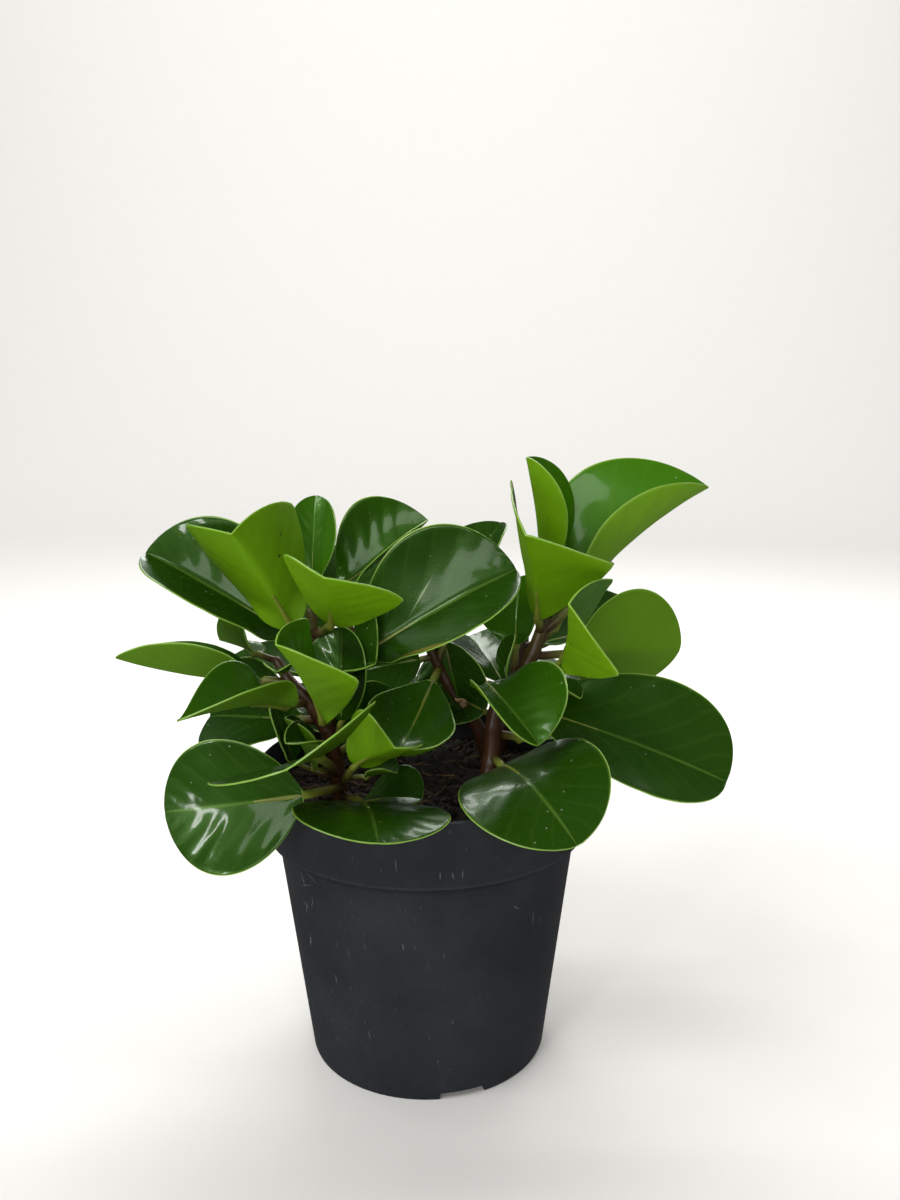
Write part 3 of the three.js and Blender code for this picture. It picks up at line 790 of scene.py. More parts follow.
def waxy_upper_face(plant):
    # Living leaf under a thick clear cuticle: a soft, slightly broken gloss over deep green,
    # with the side veins just visible and a paler midrib. A few pale dots lie 5 mm apart, and
    # the pores under the gloss are drawn coarser than real ones, so that they show.
    material, shader, spot = new_material("waxy leaf upper face")
    _, side, vein = leaf_face_map(material)
    patches = add(material, "ShaderNodeTexNoise",
                  {"Vector": spot, "Scale": every(22.22), "Detail": 3}).outputs["Fac"]
    green = leaf_green(material, patches, (shaded(plant.upper, 0.55), plant.upper),
                       plant.upper_young)
    tone = tinted(material, green, vein, 0.025, plant.margin)
    rib = add(material, "ShaderNodeMapRange", {"Value": side, "From Min": 0.04, "From Max": 0})
    tone = tinted(material, tone, rib.outputs["Result"], 0.22, plant.margin)
    edge = add(material, "ShaderNodeMapRange", {"Value": side, "From Min": 0.95, "From Max": 1})
    tone = tinted(material, tone, edge.outputs["Result"], 0.25, plant.margin)
    # Painted highlights: pale streaks where the wrinkled side veins of one leaf catch the light.
    for vein_highlight_line in PAINTED_VEIN_HIGHLIGHTS:
        vein_highlight = leaf_mark(material, spot, *vein_highlight_line)
        tone = tinted(material, tone, vein_highlight, 0.45, linear("#b9c4a0"))
    yellowed = leaf_mark(material, spot, *YELLOWED_EDGE)
    tone = tinted(material, tone, yellowed, 0.4, linear("#a08a32"))
    cells = add(material, "ShaderNodeTexVoronoi", {"Vector": spot, "Scale": every(4.762)})
    dots = add(material, "ShaderNodeMapRange",
               {"Value": cells.outputs["Distance"], "From Min": 0.075, "From Max": 0.04})
    tone = tinted(material, tone, dots.outputs["Result"], 0.3, linear("#c8d0b8"))
    pores = add(material, "ShaderNodeTexNoise",
                {"Vector": spot, "Scale": every(0.7143), "Detail": 2}).outputs["Fac"]
    bump = add(material, "ShaderNodeBump", {"Height": pores, "Strength": 0.18, "Distance": 0.2 * MM})
    rough = add(material, "ShaderNodeMapRange", {
        "Value": patches, "From Min": 0.3, "From Max": 0.7, "To Min": 0.22, "To Max": 0.34})
    feed(material, shader, {
        "Base Color": tone, "Roughness": rough.outputs["Result"], "Normal": bump.outputs["Normal"],
        "IOR": 1.45, "Subsurface Weight": 0.08, "Subsurface Radius": (0.6, 1, 0.2),
        "Subsurface Scale": 1.5 * MM, "Specular IOR Level": 0.3,
        "Specular Tint": (0.55, 1, 0.35, 1), "Coat Weight": 0.2, "Coat Roughness": 0.07})
    return material


def leaf_underside(plant):
    # The underside has no thick cuticle: bright lime green, softly satin, and light comes
    # through it. The veins show as slightly darker lines, and the blade darkens to its stalk.
    material, shader, spot = new_material("pale leaf underside")
    along, side, vein = leaf_face_map(material)
    patches = add(material, "ShaderNodeTexNoise",
                  {"Vector": spot, "Scale": every(20), "Detail": 2}).outputs["Fac"]
    dark = shaded(plant.under, 0.75)
    green = leaf_green(material, patches, (dark, plant.under), plant.under_young)
    low = add(material, "ShaderNodeMapRange", {"Value": along, "From Min": 0.35, "From Max": 0})
    tone = tinted(material, green, low.outputs["Result"], 0.35, shaded(plant.under, 0.5))
    tone = tinted(material, tone, vein, 0.08, dark)
    edge = add(material, "ShaderNodeMapRange", {"Value": side, "From Min": 0.94, "From Max": 1})
    tone = tinted(material, tone, edge.outputs["Result"], 0.3, plant.margin)
    for marked in BLACK_MARKS:
        mark = leaf_mark(material, spot, *marked)
        tone = tinted(material, tone, mark, 0.9, linear("#1a1c08"))
    grain = add(material, "ShaderNodeTexNoise",
                {"Vector": spot, "Scale": every(0.625), "Detail": 2}).outputs["Fac"]
    bump = add(material, "ShaderNodeBump", {"Height": grain, "Strength": 0.3, "Distance": 0.15 * MM})
    feed(material, shader, {
        "Base Color": tone, "Roughness": 0.52, "Normal": bump.outputs["Normal"],
        "Specular IOR Level": 0.15, "Subsurface Weight": 0.25,
        "Subsurface Radius": (0.8, 1, 0.15), "Subsurface Scale": 2 * MM})
    return material


def leaf_margin(plant):
    # The edge has no green tissue, so it is nearly clear and catches the light.
    material, shader, spot = new_material("clear leaf margin")
    shade = add(material, "ShaderNodeTexNoise", {"Vector": spot, "Scale": every(8.333)})
    tone = add(material, "ShaderNodeMix", {
        "Factor": shade.outputs["Fac"], 6: shaded(plant.margin, 0.75), 7: plant.margin},
        data_type="RGBA").outputs[2]
    feed(material, shader, {
        "Base Color": tone, "Roughness": 0.35, "Subsurface Weight": 0.3,
        "Subsurface Radius": (0.8, 1, 0.3), "Subsurface Scale": 2 * MM})
    return material


def fleshy(name, skin, flush):
    # Water-filled stem tissue under a thin smooth skin: satin, mottled with lengthwise streaks
    # about 3 mm wide, and turning from the skin colour to the flush colour.
    material, shader, spot = new_material(name)
    drawn = add(material, "ShaderNodeMapping", {"Vector": spot, "Scale": (1, 1, 0.35)})
    streaks = add(material, "ShaderNodeTexNoise", {
        "Vector": drawn.outputs[0], "Scale": every(3.125), "Detail": 4}).outputs["Fac"]
    turned = add(material, "ShaderNodeAttribute", attribute_name="greening").outputs["Fac"]
    tone = add(material, "ShaderNodeMix", {"Factor": turned, 6: skin, 7: flush},
               data_type="RGBA").outputs[2]
    deep = add(material, "ShaderNodeMix", {"Factor": 1, 6: tone, 7: (0.35, 0.35, 0.35)},
               data_type="RGBA", blend_type="MULTIPLY").outputs[2]
    mottled = add(material, "ShaderNodeMix", {"Factor": streaks, 6: deep, 7: tone},
                  data_type="RGBA").outputs[2]
    bump = add(material, "ShaderNodeBump", {"Height": streaks, "Strength": 0.4, "Distance": 0.3 * MM})
    feed(material, shader, {
        "Base Color": mottled, "Roughness": 0.42, "Normal": bump.outputs["Normal"],
        "Subsurface Weight": 0.1, "Subsurface Radius": (1, 0.5, 0.2), "Subsurface Scale": 1 * MM})
    return material


def dry_leaf():
    # A dead leaf is thin, papery and matt, tan with darker folds about 2 mm apart.
    material, shader, spot = new_material("dry papery leaf")
    folds = add(material, "ShaderNodeTexNoise",
                {"Vector": spot, "Scale": every(2), "Detail": 5}).outputs["Fac"]
    tone = add(material, "ShaderNodeValToRGB", {"Fac": folds}, stops=[
        (0.3, linear("#4e3a26")), (0.5, linear("#93764f")), (0.7, linear("#c3ab83"))])
    bump = add(material, "ShaderNodeBump", {"Height": folds, "Strength": 0.8, "Distance": 0.5 * MM})
    feed(material, shader, {"Base Color": tone.outputs["Color"], "Roughness": 0.85,
                            "Normal": bump.outputs["Normal"]})
    return material


def wall_point(pot, angle, height):
    """The place in millimetres on the pot's outer wall."""
    start, top = pot.band_start / MM, pot.height / MM
    if height > start:
        radius = lerp(pot.band_radius, pot.rim_radius, (height - start) / (top - start)) / MM
    else:
        radius = lerp(pot.base_radius, pot.body_radius, height / start) / MM
    turn = math.radians(angle)
    return radius * math.cos(turn), radius * math.sin(turn), height


def pot_wear(material, pot, spot):
    """How worn or dusty the pot's plastic is: dust, drawn scuffs, specks and scratches."""
    cloud = add(material, "ShaderNodeTexNoise", {
        "Vector": spot, "Scale": every(35.71), "Detail": 5, "Roughness": 0.6}).outputs["Fac"]
    dusty = add(material, "ShaderNodeMapRange",
                {"Value": cloud, "From Min": 0.4, "From Max": 0.8, "To Max": 0.08})
    drawn = add(material, "ShaderNodeMapping",
                {"Vector": spot, "Rotation": (0.3, 0.2, 0.4), "Scale": (1, 1, 0.12)})
    rubbed = add(material, "ShaderNodeTexNoise", {
        "Vector": drawn.outputs[0], "Scale": every(1.1111), "Detail": 2}).outputs["Fac"]
    scuffs = add(material, "ShaderNodeMapRange",
                 {"Value": rubbed, "From Min": 0.7, "From Max": 0.78, "To Max": 0.35})
    most = add(material, "ShaderNodeMath", {
        0: dusty.outputs["Result"], 1: scuffs.outputs["Result"]}, operation="MAXIMUM").outputs[0]
    cells = add(material, "ShaderNodeTexVoronoi", {"Vector": spot, "Scale": every(3.0303)})
    specks = add(material, "ShaderNodeMapRange", {
        "Value": cells.outputs["Distance"], "From Min": 0.09, "From Max": 0.05, "To Max": 0.5})
    some = add(material, "ShaderNodeTexNoise", {"Vector": spot, "Scale": every(16.667)})
    where = add(material, "ShaderNodeMapRange",
                {"Value": some.outputs["Fac"], "From Min": 0.52, "From Max": 0.6})
    kept = add(material, "ShaderNodeMath", {
        0: specks.outputs["Result"], 1: where.outputs["Result"]}, operation="MULTIPLY").outputs[0]
    wear = add(material, "ShaderNodeMath", {0: most, 1: kept}, operation="MAXIMUM").outputs[0]
    for from_angle, from_height, to_angle, to_height, width in POT_SCRATCHES:
        scratch = line_mark(material, spot, wall_point(pot, from_angle, from_height),
                            wall_point(pot, to_angle, to_height), width)
        wear = add(material, "ShaderNodeMath", {0: scratch, 1: 0.6, 2: wear},
                   operation="MULTIPLY_ADD").outputs[0]
    return wear


def moulded_plastic(pot):
    # Injection-moulded polypropylene: satin charcoal with a fine moulded grain, dust that has
    # settled in streaks, and pale scuffs a fraction of a millimetre wide. A thin pale line along the
    # band's lower edge is dust there and a painted highlight of the edge catching the light, and
    # painted shade darkens the body just under the band.
    material, shader, spot = new_material("moulded charcoal polypropylene")
    wear = pot_wear(material, pot, spot)
    height = add(material, "ShaderNodeSeparateXYZ", {0: spot}).outputs["Z"]
    # A thin pale line painted along the band's lower edge: dust there, and a painted highlight where
    # the edge catches the light.
    edge = pot.band_start + 0.5 * MM
    on_edge = add(material, "ShaderNodeMath", {0: height, 1: edge, 2: 0.7 * MM},
                  operation="COMPARE").outputs[0]
    wear = add(material, "ShaderNodeMath", {0: on_edge, 1: 0.04, 2: wear},
               operation="MULTIPLY_ADD", use_clamp=True).outputs[0]
    # Painted shade: the body is darkened just under the band, where the band shades it.
    below = add(material, "ShaderNodeMapRange", {
        "Value": height, "From Min": edge - 4 * MM, "From Max": edge - 1.2 * MM})
    under = add(material, "ShaderNodeMath", {0: height, 1: edge - 0.6 * MM}, operation="LESS_THAN")
    painted_shade_under_band = add(material, "ShaderNodeMath", {
        0: below.outputs["Result"], 1: under.outputs[0]}, operation="MULTIPLY").outputs[0]
    tone = add(material, "ShaderNodeMix", {"Factor": wear, 6: pot.plastic, 7: pot.dust},
               data_type="RGBA").outputs[2]
    tone = tinted(material, tone, painted_shade_under_band, 0.75, shaded(pot.plastic, 0.2))
    rough = add(material, "ShaderNodeMapRange", {"Value": wear, "To Min": 0.42, "To Max": 0.85})
    grain = add(material, "ShaderNodeTexNoise",
                {"Vector": spot, "Scale": every(0.6667), "Detail": 2}).outputs["Fac"]
    bump = add(material, "ShaderNodeBump", {"Height": grain, "Strength": 0.25, "Distance": 0.2 * MM})
    feed(material, shader, {
        "Base Color": tone, "Roughness": rough.outputs["Result"], "Normal": bump.outputs["Normal"],
        "IOR": 1.49, "Specular IOR Level": 0.35})
    return material


def peat(name, tone_of_peat):
    # Peat: dark, crumbly and without any gloss, in grains 2 to 3 mm across. Crumbs that have
    # dried are paler.
    material, shader, spot = new_material(name)
    grains = add(material, "ShaderNodeTexNoise", {
        "Vector": spot, "Scale": every(2.381), "Detail": 8, "Roughness": 0.7}).outputs["Fac"]
    tone = add(material, "ShaderNodeValToRGB", {"Fac": grains}, stops=[
        (0.3, shaded(tone_of_peat, 0.3)), (0.5, list(tone_of_peat)),
        (0.7, shaded(tone_of_peat, 2.4))])
    bump = add(material, "ShaderNodeBump", {"Height": grains, "Strength": 0.9, "Distance": 1 * MM})
    feed(material, shader, {"Base Color": tone.outputs["Color"], "Roughness": 0.93,
                            "Normal": bump.outputs["Normal"]})
    return material


def dry_fibre(soil):
    # Coarse plant fibre: dry, matt and pale brown.
    material, shader, spot = new_material("dry peat fibre")
    shade = add(material, "ShaderNodeTexNoise", {"Vector": spot, "Scale": every(6.667)})
    tone = add(material, "ShaderNodeMix", {
        "Factor": shade.outputs["Fac"], 6: shaded(soil.fibre, 0.35), 7: soil.fibre},
        data_type="RGBA").outputs[2]
    feed(material, shader, {"Base Color": tone, "Roughness": 0.9})
    return material


def matt_floor(stage):
    # Matt paint on board: pale, with a barely visible unevenness.
    material, shader, spot = new_material("matt pale floor")
    shade = add(material, "ShaderNodeTexNoise", {"Vector": spot, "Scale": every(25), "Detail": 4})
    tone = add(material, "ShaderNodeMix", {
        "Factor": shade.outputs["Fac"], 6: stage.floor, 7: shaded(stage.floor, 0.97)},
        data_type="RGBA").outputs[2]
    feed(material, shader, {"Base Color": tone, "Roughness": 0.85})
    return material


# ---- Pieces ----

def pot_outline(pot):
    """Radius and height in millimetres, from under the pad round the rim to the inner floor."""
    base, body = pot.base_radius / MM, pot.body_radius / MM
    band, rim = pot.band_radius / MM, pot.rim_radius / MM
    step, top, wall = pot.band_start / MM, pot.height / MM, pot.wall / MM
    foot = base - FOOT_WIDTH
    lip = top - 0.6
    floor = BASE_RAISE + wall
    inner_base, inner_body, inner_band, inner_rim = (
        base - wall + 0.45, body - wall, band - wall, rim - wall)
    underside = [
        (PAD_RADIUS * 0.5, 0), (PAD_RADIUS, 0), (PAD_RADIUS + 0.4, 0.15),
        (PAD_RADIUS + 1, BASE_RAISE - 0.15), (PAD_RADIUS + 1.4, BASE_RAISE),
        (foot - 1.4, BASE_RAISE), (foot - 1, BASE_RAISE - 0.15), (foot - 0.1, 0.3),
        (foot + 0.2, 0), (base - 0.9, 0), (base - 0.25, 0.2), (base, 0.8)]
    body_wall = [(lerp(base, body, i / 6), lerp(0.8, step, i / 6)) for i in range(1, 6)]
    under_band = [
        (body, step - 0.5), (body + 0.45, step), (band - 0.8, step), (band - 0.15, step + 0.2),
        (band, step + 0.8)]
    band_wall = [(lerp(band, rim, share), lerp(step + 0.8, lip, share)) for share in (0.35, 0.7)]
    rounded_rim = [
        (rim - 0.05, lip - 0.3), (rim - 0.1, lip), (rim - 0.35, top - 0.15), (rim - 0.7, top),
        (rim - 1.05, top - 0.15), (inner_rim, lip)]
    inside = [
        (lerp(inner_band, inner_rim, 0.4), lerp(step, lip, 0.4)), (inner_band + 0.1, step + 1.6),
        (inner_band - 0.2, step + wall), (inner_body + 0.3, step + wall), (inner_body, step + 0.8),
        (inner_base, floor + 0.5), (inner_base - 0.5, floor)]
    return underside + body_wall + under_band + band_wall + rounded_rim + inside


class PEPEROMIA_OT_pot(bpy.types.Operator):
    """Turns the nursery pot from a ring of points, with its stepped band and drain notches"""
    bl_idname = "peperomia.pot"
    bl_label = "Nursery Pot"

    def cut_notch(self, context, piece, angle):
        """Cuts one drain slot out of the foot ring."""
        select_only()
        bpy.ops.mesh.primitive_cube_add(
            size=1, rotation=(0, 0, angle),
            location=(DRAIN_REACH * MM * math.cos(angle), DRAIN_REACH * MM * math.sin(angle), 0),
            scale=(DRAIN_DEPTH * MM, DRAIN_WIDTH * MM, 2 * DRAIN_HEIGHT * MM))
        notch = context.active_object
        bpy.ops.object.transform_apply(location=True, rotation=True, scale=True)
        apply_modifier(piece, "BOOLEAN", operation="DIFFERENCE", object=notch, solver="EXACT")
        bpy.data.objects.remove(notch, do_unlink=True)

    def execute(self, context):
        pot = context.scene.peperomia_pot
        (radius, height), *rest = pot_outline(pot)
        select_only()
        bpy.ops.mesh.primitive_circle_add(vertices=pot.sides, radius=radius * MM, fill_type="NGON")
        piece = context.active_object
        bpy.ops.object.mode_set(mode="EDIT")
        bpy.ops.mesh.select_all(action="SELECT")
        bpy.ops.mesh.poke()
        select_open_edges()
        for new_radius, new_height in rest:
            bpy.ops.mesh.extrude_edges_move()
            bpy.ops.transform.resize(value=(new_radius / radius, new_radius / radius, 1))
            bpy.ops.transform.translate(value=(0, 0, (new_height - height) * MM))
            radius, height = new_radius, new_height
        bpy.ops.mesh.edge_face_add()
        bpy.ops.mesh.poke()
        face_outward()
        for number in range(DRAIN_COUNT):
            self.cut_notch(context, piece, math.radians(DRAIN_TURN + 360 / DRAIN_COUNT * number))
        dress(piece, moulded_plastic(pot))
        finish_piece(piece, "nursery_pot", "pot", angle=30)
        return {"FINISHED"}


def soil_height(x, y):
    """The soil's top in millimetres, rolling by about a millimetre."""
    wave = math.sin(0.19 * x + 1.3) * math.cos(0.23 * y) + 0.6 * math.sin(0.11 * (x + 2 * y))
    return SOIL_LEVEL + SOIL_ROLL / 1.6 * wave


class PEPEROMIA_OT_soil(bpy.types.Operator):
    """Fills the pot with rough peat, with loose crumbs and fibres on top"""
    bl_idname = "peperomia.soil"
    bl_label = "Peat"

    def fill(self, context, soil):
        """The body of peat, with a grained top and a skirt down the wall."""
        select_only()
        bpy.ops.mesh.primitive_circle_add(
            vertices=96, radius=SOIL_RADIUS * MM, fill_type="NOTHING", location=(0, 0, soil.level))
        body = context.active_object
        bpy.ops.object.transform_apply(location=True, rotation=False, scale=False)
        bpy.ops.object.mode_set(mode="EDIT")
        bpy.ops.mesh.select_all(action="SELECT")
        for ring in range(1, SOIL_RINGS):
            bpy.ops.mesh.extrude_edges_move()
            share = (SOIL_RINGS - ring) / (SOIL_RINGS - ring + 1)
            bpy.ops.transform.resize(value=(share, share, 1))
        bpy.ops.mesh.edge_face_add()
        bpy.ops.mesh.poke()
        bpy.ops.object.mode_set(mode="OBJECT")
        for vertex in body.data.vertices:
            spot = vertex.co
            grain = noise.fractal(spot * 90, 1.0, 2.0, 4) * 1.8
            fine = noise.noise(spot * 420) * 0.8
            rise = soil_height(spot.x / MM, spot.y / MM) * MM + (grain + fine) * MM
            near_wall = smoothstep(math.hypot(spot.x, spot.y), RIM_DIP_START * MM, RIM_DIP_END * MM)
            vertex.co.z = rise + soil.level - SOIL_LEVEL * MM - RIM_DIP * MM * near_wall
        bpy.ops.object.mode_set(mode="EDIT")
        select_open_edges()
        bpy.ops.mesh.extrude_edges_move(
            TRANSFORM_OT_translate={"value": (0, 0, -SOIL_SKIRT * MM)})
        bpy.ops.mesh.edge_face_add()
        face_outward()
        dress(body, peat("moist peat", soil.peat))
        finish_piece(body, "peat", "soil")

    def crumbs(self, context, soil, chance):
        """One rough lump, copied over the top in many sizes and turns."""
        select_only()
        bpy.ops.mesh.primitive_ico_sphere_add(subdivisions=1, radius=1)
        pattern = context.active_object
        for vertex in pattern.data.vertices:
            vertex.co *= 1 + 0.45 * noise.noise(vertex.co * 1.7)
        lumps = []
        for _ in range(soil.crumbs):
            angle, reach = chance.uniform(0, math.tau), math.sqrt(chance.random()) * LITTER_REACH
            x, y = reach * math.cos(angle), reach * math.sin(angle)
            size = chance.uniform(0.5, 1.6) * (1.9 if chance.random() < 0.14 else 1) * MM
            lump = bpy.data.objects.new("crumb", pattern.data.copy())
            turn = Quaternion((chance.uniform(-1, 1), chance.uniform(-1, 1), chance.uniform(0.1, 1)),
                              chance.uniform(0, math.tau)).normalized()
            stretch = Vector((1, chance.uniform(0.6, 1), chance.uniform(0.5, 0.8))) * size
            place = Vector((x * MM, y * MM, soil_height(x, y) * MM + size * 0.35))
            lump.data.transform(Matrix.LocRotScale(place, turn, stretch))
            lump.data.update()
            context.scene.collection.objects.link(lump)
            lumps.append(lump)
        bpy.data.objects.remove(pattern, do_unlink=True)
        heap = join(*lumps)
        face_outward()
        dress(heap, peat("dry peat crumbs", shaded(soil.peat, 1.9)))
        finish_piece(heap, "peat_crumbs", "soil", angle=60)

    def fibres(self, soil, chance):
        """Thin bent strands that lie on the top, and turn away from the wall."""
        strands = []
        for _ in range(soil.fibres):
            angle, reach = chance.uniform(0, math.tau), math.sqrt(chance.random()) * FIBRE_REACH
            x, y = reach * math.cos(angle), reach * math.sin(angle)
            heading, bend = chance.uniform(0, math.tau), chance.uniform(-0.35, 0.35)
            step = chance.uniform(0.8, 2.4)
            spots = []
            for place in range(FIBRE_POINTS):
                rise = soil_height(x, y) + 0.9 + chance.uniform(-0.3, 0.6) * (place % 2)
                spots.append(Vector((x, y, rise)) * MM)
                x, y = x + step * math.cos(heading), y + step * math.sin(heading)
                if math.hypot(x, y) > LITTER_REACH:
                    heading += 1.5
                heading += bend
            thick = chance.uniform(0.12, 0.3) * MM
            strands.append(tube("fibre", spots, [thick * k for k in FIBRE_THICKNESS], sides=1))
        mat = join(*strands)
        dress(mat, dry_fibre(soil))
        finish_piece(mat, "peat_fibres", "soil", angle=60)

    def execute(self, context):
        soil = context.scene.peperomia_soil
        chance = random.Random(12)
        self.fill(context, soil)
        self.crumbs(context, soil, chance)
        self.fibres(soil, chance)
        return {"FINISHED"}


class PEPEROMIA_OT_stems(bpy.types.Operator):
    """Draws the fleshy stems along their rods, with slight swellings at the joints"""
    bl_idname = "peperomia.stems"
    bl_label = "Stems"

    def draw_rod(self, name, rod, stands_in_soil):
        count = STEM_STEPS * (len(rod) - 1)
        shares = [i / count for i in range(count + 1)]
        if stands_in_soil:
            shares = [share for share in shares if rod_point(rod, share).z > STEM_START]
        centres, radii = [], []
        for share in shares:
            spot = rod_point(rod, share)
            swelling = max(0, math.cos(spot.z / JOINT_SPACING * math.tau + len(name))) ** 6
            centres.append(spot * MM)
            radii.append(rod_radius(rod, share) * (0.97 + JOINT_SWELLING * swelling) * MM)
        end, end_radius = centres[-1], rod[-1][3] * MM
        ahead = (centres[-1] - centres[-2]).normalized()
        for onward, size in STEM_END_CAP:
            centres.append(end + ahead * end_radius * onward)
            radii.append(end_radius * size)
        return tube(name, centres, radii, sides=5)

    def execute(self, context):
        plant = context.scene.peperomia_plant
        skin = fleshy("fleshy red-brown stem", plant.stem, plant.stalk)
        for name, rods in STEMS.items():
            stem = join(*[self.draw_rod(name, rod, not number) for number, rod in enumerate(rods)])
            dress(stem, skin)
            set_share(stem, "greening", [
                0.6 * smoothstep(point.co.z, GREENING_START * MM, GREENING_END * MM)
                for point in stem.data.vertices])
            finish_piece(stem, "fleshy_" + name, name, angle=60)
        return {"FINISHED"}


class PEPEROMIA_OT_leaves(bpy.types.Operator):
    """Shapes one flat blade into every leaf, thickens it and adds its stalk and rib"""
    bl_idname = "peperomia.leaves"
    bl_label = "Leaves"

    def pattern(self, context, plant):
        """A flat grid with its map: x and u run along the blade, y and v across it."""
        select_only()
        bpy.ops.mesh.primitive_grid_add(
            x_subdivisions=plant.steps, y_subdivisions=plant.splits, size=2, calc_uvs=True)
        return context.active_object

    def shape(self, grid, leaf, seed):
        """Moves the grid's points onto the leaf's sheet, with its waves, veins and groove."""
        drift = Vector((seed * 7.3, seed * 3.1, seed * 1.7))
        for vertex in grid.data.vertices:
            s, v = (vertex.co.x + 1) / 2, -vertex.co.y
            t = BLADE_END * (1 - (1 - s) ** BLADE_CROWDING)
            place, face = leaf.sheet(t, v)
            side = abs(v)
            full = min(blade_half_width(t, leaf.width, leaf.taper, leaf.corner) / (leaf.width / 2), 1)
            wave = noise.noise(place / WAVE_LENGTH + drift) * WAVE_HEIGHT
            ripple = noise.noise(place / RIPPLE_LENGTH + drift * 2) * RIPPLE_HEIGHT
            ripple *= smoothstep(side, 0.7, 1)
            vein = math.cos((VEIN_PAIRS * s - VEIN_SLANT * side ** VEIN_CURVE) * math.tau)
            relief = -VEIN_DEPTH * max(0, vein) ** 3 * smoothstep(side, 0.06, 0.3)
            relief *= 1 - smoothstep(side, 0.8, 1)
            groove = -GROOVE_DEPTH * max(0, 1 - side / GROOVE_SHARE) * smoothstep(t, 0, 0.1) * (1 - t)
            vertex.co = (place + face * ((wave + ripple + relief) * full + groove)) * MM

    def stalk(self, leaf, name):
        """The stalk from inside the stem to the blade, running on as the rib beneath it."""
        centres, radii = [], []
        start = leaf.root
        first, _ = leaf.rib(0)
        ahead, _ = leaf.rib(0.03)
        reach = (first - start).length
        for step in range(STALK_STEPS):
            share = step / STALK_STEPS
            straight = start.lerp(first, share)
            turn_in = first - (ahead - first).normalized() * reach * (1 - share)
            centres.append(straight.lerp(turn_in, 0.6 * share * (1 - share)))
            radii.append(lerp(STALK_ROOT_RADIUS, RIB_START_RADIUS, share))
        for u in RIB_PLACES:
            place, normal = leaf.rib(u)
            radius = lerp(RIB_START_RADIUS, RIB_END_RADIUS, (u / RIB_REACH) ** 0.6)
            centres.append(place - normal * radius * lerp(0.7, -0.2, u / RIB_REACH))
            radii.append(radius)
        slim = min(leaf.width / FULL_STALK_WIDTH, 1)
        return tube(name, [c * MM for c in centres], [r * slim * MM for r in radii], sides=3)

    def grow(self, context, name, pattern, blade_finishes, stalk_finish, plant, seed):
        """One leaf: its blade, thickened and rounded, joined with its stalk."""
        leaf = shaped_leaf(name)
        blade = bpy.data.objects.new(name, pattern.data.copy())
        context.scene.collection.objects.link(blade)
        dress(blade, *blade_finishes)
        self.shape(blade, leaf, seed)
        apply_modifier(blade, "SOLIDIFY", thickness=plant.thickness, offset=0,
                       material_offset=1, material_offset_rim=2)
        apply_modifier(blade, "SUBSURF", levels=1, render_levels=1)
        stalk = self.stalk(leaf, name)
        dress(stalk, *blade_finishes, stalk_finish)
        for face in stalk.data.polygons:
            face.material_index = len(blade_finishes)
        piece = join(blade, stalk)
        set_share(piece, "youth", [YOUTH.get(name, USUAL_YOUTH)] * len(piece.data.vertices))
        reach = max((leaf.base - leaf.root).length, 6) * MM
        root = leaf.root * MM
        set_share(piece, "greening", [
            smoothstep((point.co - root).length, 0.2 * reach, 1.1 * reach)
            for point in piece.data.vertices])
        slot, kind = ("dried_leaf", "papery_") if name == "dried_leaf" else ("leaf", "waxy_")
        finish_piece(piece, kind + name, name if name in LEAVES else None, angle=60)

    def execute(self, context):
        plant = context.scene.peperomia_plant
        living = [waxy_upper_face(plant), leaf_underside(plant), leaf_margin(plant)]
        fresh_stalk = fleshy("fleshy leaf stalk", plant.stem, plant.stalk)
        papery = dry_leaf()
        pattern = self.pattern(context, plant)
        for seed, name in enumerate([*LEAVES, *INNER_LEAVES]):
            dried = name == "dried_leaf"
            self.grow(context, name, pattern, [papery] * 3 if dried else living,
                      papery if dried else fresh_stalk, plant, seed)
        bpy.data.objects.remove(pattern, do_unlink=True)
        return {"FINISHED"}


def area_light(name, place, aim, size, watts):
    """A rectangular light at a place, turned to shine on the aimed spot, in metres."""
    light = bpy.data.lights.new(name, "AREA")
    light.shape = "RECTANGLE"
    light.size, light.size_y = size
    light.energy = watts
    made = bpy.data.objects.new(name, light)
    heading = Vector(aim) - Vector(place)
    made.matrix_world = Matrix.LocRotScale(Vector(place), heading.to_track_quat("-Z", "Y"), None)
    bpy.context.scene.collection.objects.link(made)
    return made


